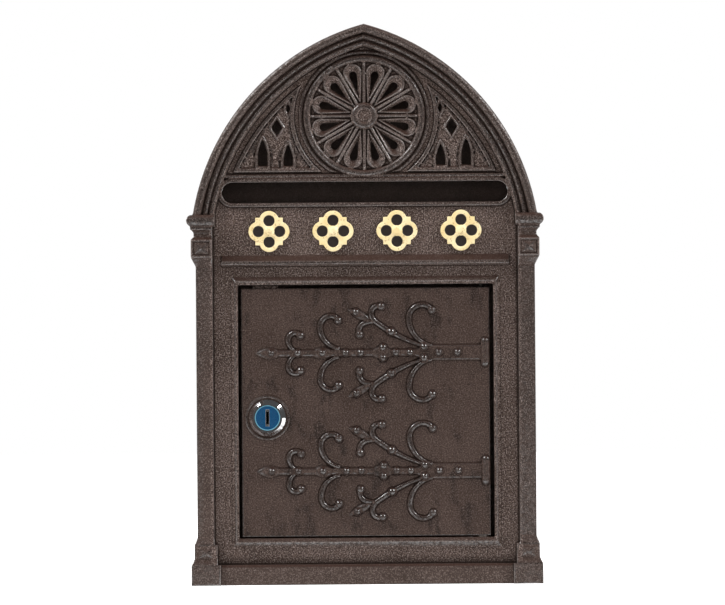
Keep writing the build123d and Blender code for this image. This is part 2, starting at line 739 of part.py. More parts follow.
def pin_holes():
    """Blind holes for the hinge pins in the opening's top and bottom edges."""
    hole = Plane((HINGE_X, HINGE_Y, 0)) * Circle(PIN_RADIUS + PIN_CLEARANCE)
    depth = PIN_IN_FRAME + AXIAL_CLEARANCE
    return [
        extrude(Pos(0, 0, OPENING_BOTTOM) * hole, -depth),
        extrude(Pos(0, 0, OPENING_TOP) * hole, depth),
    ]


def door_stop():
    """Lug over the opening that the closed door leans on."""
    middle = OPENING_LEFT + STOP_INSET
    bottom = DOOR_TOP - STOP_OVERLAP
    lug = rect(middle - STOP_WIDTH / 2, middle + STOP_WIDTH / 2, bottom, bottom + STOP_HEIGHT)
    return prism(lug, PLATE_BACK, PLATE_BACK + STOP_DEPTH)


def lock_keeper():
    """Lug behind the latch jamb that the turned cam hooks behind."""
    right = OPENING_LEFT - KEEPER_INSET
    lug = rect(right - KEEPER_WIDTH, right, LOCK_Z - KEEPER_HALF_HEIGHT, LOCK_Z + KEEPER_HALF_HEIGHT)
    return prism(lug, PLATE_BACK - LUG_ROOT, CAM_FRONT - KEEPER_CLEARANCE)


def ornament_places():
    first = -(ORNAMENTS - 1) / 2 * ORNAMENT_PITCH
    return [(first + ORNAMENT_PITCH * i, ORNAMENT_HEIGHT) for i in range(ORNAMENTS)]


def front_frame():
    plate = relief(arch_outline(SHAFT_HALF_SPAN, 0, ARCH_RADIUS), -PLATE, 0)
    panel = spandrel(SPANDREL_BEAD)
    plate -= both_sides(relief(panel, -SPANDREL_RECESS, 0))
    added = arch_mouldings() + pilasters() + rose_rings() + petal_rims() + spokes()
    added += [plinth_rail(), sill(), door_surround(), slot_rim(), bands(), door_stop(), lock_keeper()]
    added += screw_lugs() + hinge_lugs()
    added += both_sides(relief(spandrel(0) - panel, 0, SPANDREL_BEAD_RISE))
    frames = Sketch() + [frame & panel for frame in tracery_openings(TRACERY_RIM)]
    bars = spandrel(SPANDREL_BEAD + TRACERY_GROOVE) - tracery_openings(TRACERY_RIM + TRACERY_GROOVE)
    added += both_sides(relief(frames + bars, -SPANDREL_RECESS, TRACERY_RISE))
    windows = []
    for hole in tracery_openings(0):
        windows += both_sides(relief(hole, -PLATE, PLATE))
    openings = [relief(opening(), -PLATE, SURROUND_RISE), relief(slot_shape(0), -PLATE, SLOT_RIM_RISE)]
    taps = drilled(screw_stations(), SCREW_RADIUS + PIN_CLEARANCE, SHEET + SHEET_CLEARANCE + SCREW_LENGTH)
    peg_hole = Circle(PEG_RADIUS + PEG_CLEARANCE)
    pegs = [relief(Pos(x, z) * peg_hole, -PEG_LENGTH - PEG_CLEARANCE, 0) for x, z in ornament_places()]
    frame = plate + added
    for cuts in (petal_holes(), pin_holes(), windows, openings, taps, pegs):
        frame -= cuts
    return frame


def frieze_ornaments():
    """Four barbed quatrefoils with a boss, sunk eyes and a peg."""
    outline = Rectangle(2 * POINT_REACH, 2 * POINT_REACH)
    eyes = []
    for x, z in ((LOBE_REACH, 0), (0, LOBE_REACH), (-LOBE_REACH, 0), (0, -LOBE_REACH)):
        outline += Pos(x, z) * Circle(LOBE_RADIUS)
        eyes.append(Pos(x, z) * Circle(ORNAMENT_EYE))
    pieces = []
    for x, z in ornament_places():
        place = Pos(x, z)
        piece = relief(place * outline, 0, ORNAMENT_RISE)
        piece -= [relief(place * eye, ORNAMENT_RISE - ORNAMENT_EYE_DEPTH, PLATE) for eye in eyes]
        boss = slope(
            place * Circle(ORNAMENT_BOSS),
            place * Circle(ORNAMENT_BOSS / 2),
            ORNAMENT_RISE,
            ORNAMENT_RISE + ORNAMENT_BOSS_RISE,
        )
        pieces.append(piece + boss + relief(place * Circle(PEG_RADIUS), -PEG_LENGTH, 0))
    return pieces


# Casing


def casing_wrap():
    """Sheet-steel wall round floor, sides and arch, open at front and back."""
    outer = arch_outline(CASING_HALF, CASING_FLOOR, CASING_RADIUS)
    inner = arch_outline(CASING_HALF - SHEET, CASING_FLOOR + SHEET, CASING_RADIUS - SHEET)
    wall = prism(outer - inner, PLATE_BACK, 0)
    holes = drilled(screw_stations(), SCREW_RADIUS + SCREW_CLEARANCE, 2 * SHEET)
    return wall - holes - drilled(rivet_stations(), RIVET_RADIUS + SCREW_CLEARANCE, 2 * SHEET)


def back_plate():
    """Flat back with forward lips at both sides and the floor."""
    inset = SHEET + SHEET_CLEARANCE
    half = CASING_HALF - inset
    floor = CASING_FLOOR + inset
    plate = prism(arch_outline(half, floor, CASING_RADIUS - inset), -SHEET, 0)
    lip_half = CASING_HALF - LIP_INSET
    side_lip = prism(rect(half - SHEET, half, LIP_BOTTOM, LIP_BOTTOM + LIP_LENGTH), -LIP_DEPTH, 0)
    floor_lip = prism(rect(-lip_half, lip_half, floor, floor + SHEET), -LIP_DEPTH, 0)
    plate += both_sides(side_lip) + [floor_lip]
    plate -= drilled(rivet_stations(), RIVET_RADIUS + SCREW_CLEARANCE, inset + 2 * SHEET)
    for x in (-WALL_SCREW_SPACING_X / 2, WALL_SCREW_SPACING_X / 2):
        for z in (-WALL_SCREW_SPACING_Z / 2, WALL_SCREW_SPACING_Z / 2):
            plate -= prism(Pos(x, WALL_SCREW_CENTRE + z) * Circle(WALL_HOLE_RADIUS), -2 * SHEET, 0)
    return plate


def casing_rivets():
    """Blind rivets: a low dome outside, a shank, and the drawn tail inside."""
    stack = 2 * SHEET + SHEET_CLEARANCE
    dome_radius = (RIVET_HEAD_RADIUS**2 + RIVET_HEAD_HEIGHT**2) / (2 * RIVET_HEAD_HEIGHT)
    dome = Pos(0, 0, RIVET_HEAD_HEIGHT - dome_radius) * Sphere(dome_radius)
    dome &= Pos(0, 0, RIVET_HEAD_HEIGHT / 2) * Cylinder(2 * RIVET_HEAD_RADIUS, RIVET_HEAD_HEIGHT)
    rivet = dome + Pos(0, 0, -stack / 2) * Cylinder(RIVET_RADIUS, stack)
    rivet += Pos(0, 0, -stack - RIVET_TAIL_HEIGHT / 2) * Cylinder(RIVET_TAIL_RADIUS, RIVET_TAIL_HEIGHT)
    return [station * rivet for station in rivet_stations()]


def casing_washers():
    washer = Circle(WASHER_RADIUS) - Circle(SCREW_RADIUS + SCREW_CLEARANCE)
    return [extrude(station * washer, WASHER_THICKNESS) for station in screw_stations()]


def casing_screws():
    """Slotted pan-head screws on washers."""
    seat = WASHER_THICKNESS
    head = Pos(0, 0, seat + SCREW_HEAD_HEIGHT / 2) * Cylinder(SCREW_HEAD_RADIUS, SCREW_HEAD_HEIGHT)
    head = fillet(head.faces().sort_by(Axis.Z)[-1].edges(), SCREW_HEAD_HEIGHT / 3)
    top = seat + SCREW_HEAD_HEIGHT - SCREW_SLOT_DEPTH / 2
    head -= Pos(0, 0, top) * Box(2 * SCREW_HEAD_RADIUS, SCREW_SLOT_WIDTH, SCREW_SLOT_DEPTH)
    screw = head + Pos(0, 0, seat - SCREW_LENGTH / 2) * Cylinder(SCREW_RADIUS, SCREW_LENGTH)
    return [station * screw for station in screw_stations()]


# Door and hinge


def ring_sector(centre, radius, width, start, sweep):
    outer, inner = radius + width / 2, radius - width / 2

    def at(distance, angle):
        turn = math.radians(angle)
        return centre[0] + distance * math.cos(turn), centre[1] + distance * math.sin(turn)

    end, middle = start + sweep, start + sweep / 2
    return face_of(
        ThreePointArc(at(outer, start), at(outer, middle), at(outer, end)),
        Line(at(outer, end), at(inner, end)),
        ThreePointArc(at(inner, end), at(inner, middle), at(inner, start)),
        Line(at(inner, start), at(outer, start)),
    )


def on_strap(point):
    """A point of the strap's drawing, brought to the door's scale."""
    return point[0] * STRAP_SCALE, point[1] * STRAP_SCALE


def scroll(start, heading, arcs):
    """A band along tangent arcs that ends in a ball; a positive turn is to the left."""
    x, y = on_strap(start)
    faces = []
    for drawn_radius, turn in arcs:
        radius = drawn_radius * STRAP_SCALE
        side = math.copysign(90, turn)
        to_centre = math.radians(heading + side)
        centre = (x + radius * math.cos(to_centre), y + radius * math.sin(to_centre))
        first = heading - side
        faces.append(ring_sector(centre, radius, SCROLL_WIDTH, first, turn))
        last = math.radians(first + turn)
        x, y = centre[0] + radius * math.cos(last), centre[1] + radius * math.sin(last)
        heading += turn
    return faces + [Pos(x, y) * Circle(BALL_RADIUS)]


def leaf(start, end, half_width):
    """Two arcs between two points of the drawing."""
    start, end, sagitta = on_strap(start), on_strap(end), half_width * STRAP_SCALE
    return face_of(SagittaArc(start, end, sagitta), SagittaArc(end, start, sagitta))


def strap_sketch():
    """One strap ornament, the same above and below its axis."""
    half = Sketch()
    for start, heading, arcs in SCROLLS:
        half += scroll(start, heading, arcs)
    half += [leaf(*BRANCH_LEAF), Pos(*on_strap(BRANCH_BOSS)) * Circle(BRANCH_BOSS_RADIUS)]
    band_start, band_end, neck_end, stem_end = [place * STRAP_SCALE for place in BAND_PLACES]
    band = face_of(
        Polyline(
            (band_start, BAND_HALF),
            (band_end, BAND_HALF),
            (neck_end, STEM_HALF),
            (stem_end, STEM_HALF),
            (stem_end, -STEM_HALF),
            (neck_end, -STEM_HALF),
            (band_end, -BAND_HALF),
            (band_start, -BAND_HALF),
            (band_start, BAND_HALF),
        )
    )
    whole = band + half + mirror(half, about=Plane.XZ)
    return whole + [leaf(*ends) for ends in AXIS_LEAVES] + [leaf(*BUD_LEAF)]


def strap_dome_places():
    places = [(place, 0) for place in AXIS_DOMES]
    for place, off in PAIR_DOMES + (LEAF_DOME, BRANCH_BOSS):
        places += [(place, off), (place, -off)]
    return [on_strap(place) for place in places]


def knuckle(axis_z):
    """Half-round barrel in relief at the strap's hinge end."""
    barrel = Cylinder(KNUCKLE_RADIUS, 2 * KNUCKLE_HALF_LENGTH)
    barrel = fillet(barrel.edges(), KNUCKLE_RADIUS / 2)
    return Pos(DOOR_RIGHT + KNUCKLE_PLACE, FIELD_Y, axis_z) * barrel


def strap_relief(axis_z):
    dome_radius = (DOME_RADIUS**2 + DOME_RISE**2) / (2 * DOME_RISE)
    dome_y = FIELD_Y - STRAP_RISE - DOME_RISE + dome_radius
    pieces = [relief(Pos(DOOR_RIGHT, axis_z) * strap_sketch(), 0, STRAP_RISE), knuckle(axis_z)]
    for place, off in strap_dome_places():
        pieces.append(Pos(DOOR_RIGHT + place, dome_y, axis_z + off) * Sphere(dome_radius))
    return pieces


def hinge_block(bottom, top):
    half = HINGE_BLOCK_WIDTH / 2
    return prism(rect(HINGE_X - half, HINGE_X + half, bottom, top), FIELD_Y, HINGE_Y + HINGE_BLOCK_BEHIND)


def set_screw_heights():
    return (DOOR_BOTTOM + HINGE_BLOCK_HEIGHT / 2, DOOR_TOP - HINGE_BLOCK_HEIGHT / 2)


def vertical_bar(radius, bottom, top):
    return extrude(Plane((HINGE_X, HINGE_Y, bottom)) * Circle(radius), top - bottom)


def door():
    panel = prism(rect(DOOR_LEFT, DOOR_RIGHT, DOOR_BOTTOM, DOOR_TOP), FIELD_Y, DOOR_BACK)
    middle = (DOOR_BOTTOM + DOOR_TOP) / 2
    added = strap_relief(middle + STRAP_OFFSET) + strap_relief(middle - STRAP_OFFSET)
    added += [
        hinge_block(DOOR_BOTTOM, DOOR_BOTTOM + HINGE_BLOCK_HEIGHT),
        hinge_block(DOOR_TOP - HINGE_BLOCK_HEIGHT, DOOR_TOP),
        ring(
            LOCK_X,
            LOCK_Z,
            LOCK_SEAT_RADIUS + LOCK_SEAT_WIDTH,
            LOCK_SEAT_RADIUS,
            FIELD_Y - LOCK_SEAT_RISE,
            FIELD_Y,
        ),
    ]
    bore = PIN_RADIUS + PIN_CLEARANCE
    cuts = [
        vertical_bar(bore, DOOR_BOTTOM, DOOR_BOTTOM + PIN_IN_DOOR + AXIAL_CLEARANCE),
        vertical_bar(bore, DOOR_TOP - PIN_IN_DOOR - PIN_GROOVE, DOOR_TOP),
        prism(Pos(LOCK_X, LOCK_Z) * barrel_section(LOCK_HOLE_CLEARANCE), FIELD_Y, DOOR_BACK),
    ]
    for height in set_screw_heights():
        hole = Pos(HINGE_X, height) * Circle(SET_SCREW_RADIUS + PIN_CLEARANCE)
        cuts.append(prism(hole, HINGE_Y, HINGE_Y + HINGE_BLOCK_BEHIND))
    return panel + added - cuts


def upper_hinge_pin():
    return vertical_bar(PIN_RADIUS, DOOR_TOP - PIN_IN_DOOR, OPENING_TOP + PIN_IN_FRAME)


def lower_hinge_pin():
    return vertical_bar(PIN_RADIUS, OPENING_BOTTOM - PIN_IN_FRAME, DOOR_BOTTOM + PIN_IN_DOOR)


def pin_set_screws():
    front = HINGE_Y + PIN_RADIUS + PIN_CLEARANCE
    back = HINGE_Y + HINGE_BLOCK_BEHIND
    slot = Rectangle(2 * SET_SCREW_RADIUS, SET_SCREW_RADIUS / 3)
    screws = []
    for height in set_screw_heights():
        screw = prism(Pos(HINGE_X, height) * Circle(SET_SCREW_RADIUS), front, back)
        screws.append(screw - prism(Pos(HINGE_X, height) * slot, back - SET_SCREW_RADIUS / 2, back))
    return screws


def hinge_washer():
    washer = Circle(HINGE_WASHER_RADIUS) - Circle(PIN_RADIUS + SCREW_CLEARANCE)
    return extrude(Plane((HINGE_X, HINGE_Y, OPENING_BOTTOM)) * washer, BOTTOM_GAP - AXIAL_CLEARANCE)


# Lock


def barrel_section(clearance):
    """Round with two flats, so that the lock can't turn in the door."""
    flats = Rectangle(BARREL_FLATS + 2 * clearance, 4 * BARREL_RADIUS)
    return Circle(BARREL_RADIUS + clearance) & flats


def at_lock(sketch):
    return Pos(LOCK_X, LOCK_Z) * sketch


def lock_housing():
    """Bevelled bezel, flatted barrel, and a post behind that stops the cam."""
    bezel = turned(
        face_of(
            Polyline(
                (0, 0),
                (BEZEL_RADIUS, 0),
                (BEZEL_RADIUS, BEZEL_EDGE),
                (BEZEL_FRONT_RADIUS, BEZEL_HEIGHT),
                (0, BEZEL_HEIGHT),
                (0, 0),
            )
        ),
        LOCK_X,
        LOCK_Z,
    )
    front = FIELD_Y - BEZEL_HEIGHT
    housing = bezel + prism(at_lock(barrel_section(0)), FIELD_Y, BARREL_END)
    housing -= prism(at_lock(Circle(FACE_RADIUS + FACE_CLEARANCE)), front, HEAD_BACK + AXIAL_CLEARANCE)
    housing -= prism(at_lock(Circle(PLUG_RADIUS + PLUG_CLEARANCE)), front, BARREL_END)
    post = at_lock(Pos(0, STOP_POST_PLACE) * Circle(STOP_POST_RADIUS))
    return housing + prism(post, BARREL_END - STOP_POST_RADIUS, CAM_FRONT - AXIAL_CLEARANCE)


def hexagon(flats):
    return RegularPolygon(flats / 2, 6, major_radius=False)


def lock_nut():
    front = DOOR_BACK + LOCK_WASHER_THICKNESS
    section = hexagon(LOCK_NUT_FLATS) - Circle(BARREL_RADIUS + PLUG_CLEARANCE)
    return prism(at_lock(section), front, front + LOCK_NUT_HEIGHT)


def lock_nut_washer():
    inner = BARREL_RADIUS + SCREW_CLEARANCE
    return ring(LOCK_X, LOCK_Z, LOCK_WASHER_RADIUS, inner, DOOR_BACK, DOOR_BACK + LOCK_WASHER_THICKNESS)


def wafer_fronts():
    return [HEAD_BACK + WAFER_FIRST + WAFER_PITCH * i for i in range(WAFERS)]


def spring_place():
    return WAFER_WIDTH / 2 + WAFER_CLEARANCE + 2 * WAFER_SPRING_RADIUS


def lock_plug():
    """Head, body with wafer slots, square for the cam, and a threaded stud."""
    plug = prism(at_lock(Circle(FACE_RADIUS)), HEAD_FRONT, HEAD_BACK)
    plug += prism(at_lock(Circle(PLUG_RADIUS)), HEAD_BACK, BARREL_END)
    plug += prism(at_lock(Rectangle(TAIL_SQUARE, TAIL_SQUARE)), BARREL_END, CAM_BACK - AXIAL_CLEARANCE)
    plug += prism(at_lock(Circle(STUD_RADIUS)), BARREL_END, CAM_NUT_BACK + STUD_SPARE)
    plug -= prism(at_lock(Rectangle(KEY_WIDTH, KEY_HEIGHT)), HEAD_FRONT, HEAD_FRONT + KEY_DEPTH)
    slot = Rectangle(WAFER_WIDTH + 2 * WAFER_CLEARANCE, 4 * PLUG_RADIUS)
    pocket_half = 2 * WAFER_SPRING_RADIUS
    pocket_tall = WAFER_SPRING_LENGTH / 2 + WAFER_CLEARANCE
    slot += rect(0, spring_place() + pocket_half, -pocket_tall, pocket_tall)
    slot &= Circle(2 * PLUG_RADIUS)
    for front in wafer_fronts():
        plug -= prism(at_lock(slot), front - WAFER_CLEARANCE, front + WAFER_THICKNESS + WAFER_CLEARANCE)
    return plug


def lock_face_disc():
    section = Circle(FACE_RADIUS) - Rectangle(KEY_WIDTH, KEY_HEIGHT)
    return prism(at_lock(section), FACE_FRONT, HEAD_FRONT)


def lock_wafers():
    section = Rectangle(WAFER_WIDTH, WAFER_HEIGHT) - Rectangle(WAFER_WINDOW_WIDTH, WAFER_WINDOW_HEIGHT)
    return [prism(at_lock(section), front, front + WAFER_THICKNESS) for front in wafer_fronts()]


def wafer_springs():
    springs = []
    bottom = LOCK_Z - WAFER_SPRING_LENGTH / 2
    for front in wafer_fronts():
        place = Plane((LOCK_X + spring_place(), front + WAFER_THICKNESS / 2, bottom))
        springs.append(extrude(place * Circle(WAFER_SPRING_RADIUS), WAFER_SPRING_LENGTH))
    return springs


def square_hole():
    side = TAIL_SQUARE + 2 * TAIL_CLEARANCE
    return Rectangle(side, side)


def cam_stop_washer():
    """Turns with the plug; the housing's post runs in its notch."""
    post_half = STOP_POST_RADIUS + STOP_POST_CLEARANCE
    spare = math.degrees(math.asin(post_half / STOP_POST_PLACE))
    width = 2 * (STOP_WASHER_RADIUS - STOP_POST_PLACE + post_half)
    notch = ring_sector((0, 0), STOP_WASHER_RADIUS, width, 90 - spare, LOCK_TURN + 2 * spare)
    section = Circle(STOP_WASHER_RADIUS) - square_hole() - notch
    return prism(at_lock(section), STOP_WASHER_FRONT, CAM_FRONT)


def lock_cam():
    """Hangs down while the door is unlocked."""
    section = Circle(CAM_WIDTH / 2) + rect(-CAM_WIDTH / 2, CAM_WIDTH / 2, -CAM_REACH, 0)
    return prism(at_lock(section - square_hole()), CAM_FRONT, CAM_BACK)


def cam_spring_washer():
    inner = STUD_RADIUS + SCREW_CLEARANCE
    return ring(LOCK_X, LOCK_Z, SPRING_WASHER_RADIUS, inner, CAM_BACK, CAM_NUT_FRONT)


def cam_nut():
    section = hexagon(CAM_NUT_FLATS) - Circle(STUD_RADIUS + PLUG_CLEARANCE)
    return prism(at_lock(section), CAM_NUT_FRONT, CAM_NUT_BACK)


# Export

MAKERS = (
    front_frame,
    frieze_ornaments,
    casing_wrap,
    back_plate,
    casing_rivets,
    casing_washers,
    casing_screws,
    door,
    upper_hinge_pin,
    lower_hinge_pin,
    pin_set_screws,
    hinge_washer,
    lock_housing,
    lock_nut,
    lock_nut_washer,
    lock_plug,
    lock_face_disc,
    lock_wafers,
    wafer_springs,
    cam_stop_washer,
    lock_cam,
    cam_spring_washer,
    cam_nut,
)

os.makedirs("parts", exist_ok=True)
for maker in MAKERS:
    made = maker()
    pieces = made if isinstance(made, list) else [made]
    solids = [solid for piece in pieces for solid in piece.solids()]
    node = Compound(solids) if len(solids) > 1 else solids[0]
    export_step(node.moved(Location((0, 0, -WALL_SCREW_CENTRE))), f"parts/{maker.__name__}.step")
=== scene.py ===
import json
import math

import bmesh
import bpy
import numpy as np
from mathutils import Euler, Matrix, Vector


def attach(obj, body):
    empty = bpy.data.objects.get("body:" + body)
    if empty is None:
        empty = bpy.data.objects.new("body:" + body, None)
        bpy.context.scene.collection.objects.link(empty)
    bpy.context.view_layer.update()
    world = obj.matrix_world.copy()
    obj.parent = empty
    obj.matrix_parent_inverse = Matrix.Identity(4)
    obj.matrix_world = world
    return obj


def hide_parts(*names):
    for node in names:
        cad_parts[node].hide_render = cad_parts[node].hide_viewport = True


# Cast-iron wall letterbox, dressed round its CAD frame. Lengths are written in millimetres, and heights
# run from the plinth's bottom edge, as in the part's source; at() turns both into the frame's metres.

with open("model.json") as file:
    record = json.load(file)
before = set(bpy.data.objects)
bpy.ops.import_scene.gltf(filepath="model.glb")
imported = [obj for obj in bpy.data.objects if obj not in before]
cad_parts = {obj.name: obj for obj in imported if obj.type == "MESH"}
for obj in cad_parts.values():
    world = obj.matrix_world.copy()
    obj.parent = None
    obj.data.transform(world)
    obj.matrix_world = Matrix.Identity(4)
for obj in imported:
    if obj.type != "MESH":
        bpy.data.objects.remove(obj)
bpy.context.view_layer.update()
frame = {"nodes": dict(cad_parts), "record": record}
nodes = frame["nodes"]

MM = 0.001
WALL_SCREW_CENTRE = 160.0        # height of the frame's origin

# Front casting
FIELD_Y = -75.0                  # face of the casting and of the door
ROSE_HEIGHT = 360.0
PETALS = 12
STUD_CIRCLE = 39.8               # small points between the petals
STUD_RADIUS = 1.3
STUD_RISE = 2.6

# Pierced openings of the right spandrel, with places from the middle; the left one mirrors it
LANCETS = ((78.3, 344.0), (58.6, 340.0))    # place and height of each tip
LANCET_HALF_WIDTH = 3.7
LANCET_BOTTOM = 322.0
LANCET_HEAD = 15.5               # height of the pointed part
LANCET_HEAD_CURVE = 1.8          # power by which its sides close
LANCET_HEAD_POINTS = 12
DIAMONDS = ((67.2, 351.5, 4.3, 6.6), (58.4, 366.0, 1.8, 4.0))    # place, height, half width and half height
RIM_HALF = 1.1                   # roll round each opening
RIM_RISE = 1.7

# Square frame on each capital's block
BLOCK_SIDES = (117.5, 133.9)
BLOCK_HEIGHTS = (251.8, 265.8)
BLOCK_Y = -84.6
BLOCK_FRAME_HALF = 0.9
BLOCK_FRAME_RISE = 0.9
BLOCK_FRAME_SQUARENESS = 0.6

# Door and its strap ornament; places run from the door's hinge edge and from each strap's axis
DOOR_RIGHT = 95.2
STRAP_AXES = (177.8, 86.8)
BAND_START = -6.0
BAND_END = -46.0
BAND_HALF = 5.8
BAND_RISE = 1.1
BAND_SQUARENESS = 0.35
NECK_END = -57.0
NECK_SQUARENESS = 0.4
STEM_END = -165.0
STEM_HALF = 2.5
STEM_RISE = 1.3
STEM_SQUARENESS = 0.7
SCROLL_HALF = (1.0, 1.9, 1.8)    # at the root, at the middle and before the ball
SCROLL_MIDDLE = 0.45             # share of a scroll's length
SCROLL_RISE = 2.0
SCROLL_SQUARENESS = 0.7
BALL_RADIUS = 3.0
BALL_RISE = 3.0
DOME_RADIUS = 3.2
DOME_RISE = 4.2
BRANCH_BOSS = (-75.7, 16.0)
BRANCH_BOSS_RADIUS = 3.4
KNUCKLE_PLACE = -3.4
KNUCKLE_HALF_LENGTH = 11.5
KNUCKLE_HALF = 3.2
KNUCKLE_RISE = 3.1
KNUCKLE_TIP = 0.1                # share of its size that is left at the ends
KNUCKLE_POINTS = 33
# start, heading and (radius, turn) of each tangent arc, for the half above the axis
SCROLLS = (
    ((-44.7, 5.5), 170, ((21.0, -80), (10.5, -90), (8.5, -60))),
    ((-50.7, 5.0), 163, ((119.0, -20), (8.5, -53), (5.5, -115))),
    ((-87.7, 23.7), 178, ((40.0, 10), (6.8, 105))),
    ((-115.7, 3.2), 172, ((17.0, -82), (8.5, -90), (6.0, -65))),
    ((-150.2, 2.0), 150, ((9.5, -60), (5.5, -90), (4.5, -60))),
)
FEWEST_STEPS = 3                 # along an arc
# both ends and the half width of each leaf
AXIS_LEAVES = (
    ((-73.0, 0.0), (-93.0, 0.0), 4.6),
    ((-119.0, 0.0), (-138.0, 0.0), 4.4),
    ((-159.0, 0.0), (-179.7, 0.0), 4.4),
)
BRANCH_LEAF = ((-90.0, 24.0), (-108.7, 33.7), 3.0)
LEAF_RISE = 1.8
LEAF_FULLNESS = 0.8              # power of the sine that its width follows
LEAF_TIP_HALF = 0.4
LEAF_TIP_RISE = 0.5
LEAF_POINTS = 24
AXIS_DOMES = (-24.7, -39.2, -61.2, -72.2, -99.2, -110.7, -128.7, -147.7, -168.2)
SIDE_DOMES = ((-50.4, 4.4), (-82.0, 4.0), (-102.7, 31.2))

# Lock
LOCK_X = -76.0
LOCK_Z = 128.3
LOCK_SEAT = (15.2, 17.2)         # inner and outer radius of the raised ring round the lock
LOCK_SEAT_RISE = 0.9
LOCK_SEAT_POINTS = 97
DISC_RIM = (8.9, 9.2)            # radii where the disc's blue ends and its pale edge is full
DISC_SLOT = (1.3, 6.3)           # half width and half length
PLUG_SLOT = (1.5, 6.0)
SLOT_FADE = 0.3

# Skins of the castings
FINE_GRID = 0.5
ORNAMENT_GRID = 0.35
SOFTENING_SHARE = 0.5
SOFTENING_ROUNDS = 2
WEAR_ROUNDS = 4                  # how many edges the bulge measure reaches
# the depth measure drives the painted shade in recesses
HOLLOW_SHADE_REACH = 1                  # how many cells the depth measure reaches
CASTING_FACES = 190000
DOOR_FACES = 150000
ORNAMENT_FACES = 60000
WELD = 0.001                     # points nearer than this are joined

# Casting paint: where each kind of place starts and where it is full
LEDGE_TILT = (0.25, 0.65)        # upward part of the normal
REAR_TILT = (0.2, 0.6)           # backward part of the normal
ROLL_BULGE = (0.025, 0.08)
EDGE_BULGE = (0.1, 0.22)
HOLLOW_BULGE = (-0.05, -0.16)
HOLLOW_DEPTH = (3.5, 6.0)
# the pilasters, the arch's feet and the plinth are painted darker as well as smoother
DRESSED_SIDE = (119.0, 120.0)    # smoother paint of the pilasters and the arch's feet, from the middle
DRESSED_FOOT = (16.5, 15.5)      # smoother paint of the plinth, in height
# its tones as shares of the dark colour, and how far they cover what is below
STAIN_TONE = 0.35
DRESSED_TONE = 0.45
DRESSED_COVER = 0.52
# painted shade: rolls and up-facing ledges are smoother and also painted darker
SMOOTH_SHADE_TONE = 0.25
SMOOTH_SHADE_COVER = 0.75
PIT_TONE = 0.2
# painted shade: up-facing ledges are painted darker and redder
LEDGE_SHADE_TONE = (0.50, 0.36, 0.31)
LEDGE_SHADE_COVER = 0.75
# painted shade: recesses and concave corners are painted darker and lose most of their reflection
HOLLOW_SHADE_TONE = 0.12
HOLLOW_SHADE_COVER = 0.85
# painted glints: bright specks in the grain, as painted highlights
GLINT_TONE = 1.3                 # share of the rubbed colour
SMOOTH_GRIT = 0.4                # share of the grain's contrast that smooth places keep
SMOOTH_BUMP = 0.2                # share of its height that they keep
# its shine, from plain to polished places
CASTING_ROUGHNESS = (0.5, 0.19)
CASTING_SPECULAR = (0.07, 0.45)
HOLLOW_SPECULAR = 0.02
CASTING_IOR = 1.9

# Gold paint: rises over the field where it is full and where it ends, and how far its edge strays
GOLD_EDGE = (1.75, 1.35)
GOLD_STRAY = 0.25

# Camera, matched to the photograph
IMAGE_WIDTH = 725
SCALE = 270 / 351                # millimetres to a pixel
CAMERA_DISTANCE = 4000.0
CAMERA_REACH = 20000.0
SENSOR = 36.0
AIM = (-2.3, 216.5)              # what the image's middle shows
ROLL = 0.42                      # degrees

# Stage
ROOM_LIGHT = 0.5                 # the world's light on the object
CEILING_LIGHT = ROOM_LIGHT / 3
CEILING_SLOPE = (0.1, 0.8)       # upward part of a direction, from room to ceiling
ROOM_MIRRORED = 0.1              # how bright the room in front is in reflections
WHITE_SLOPE = (0.1, 0.6)         # backward part of a direction, from room to white ground
FLOOR_SIDE = 4000.0
FLOOR_CENTRE = (0, 1400, -0.2)
FLOOR_COLOUR = (0.85, 0.85, 0.85, 1)
FLOOR_FADE = (400.0, 900.0)      # distances from the frame's origin
FLOOR_GLOW = (0.6, 1.0)          # at those distances
LAMP_TARGET = (0, FIELD_Y, 215)
# name, place, side, radiance, and whether it shows in reflections
LAMPS = (
    ("left", (-1200, -520, 1600), 750, 22.0, True),
    ("right", (1350, -520, 1300), 600, 26.0, True),
    ("front", (0, -2600, 300), 500, 14.0, False),
)


def at(x, y, z):
    return Vector((x, y, z - WALL_SCREW_CENTRE)) * MM


def new_object(name, data):
    made = bpy.data.objects.new(name, data)
    bpy.context.scene.collection.objects.link(made)
    return made


# Meshes


def signed_power(value, power):
    return math.copysign(abs(value) ** power, value)


def on_circle(x, z, radius, turn):
    return x + radius * math.cos(turn), z + radius * math.sin(turn)


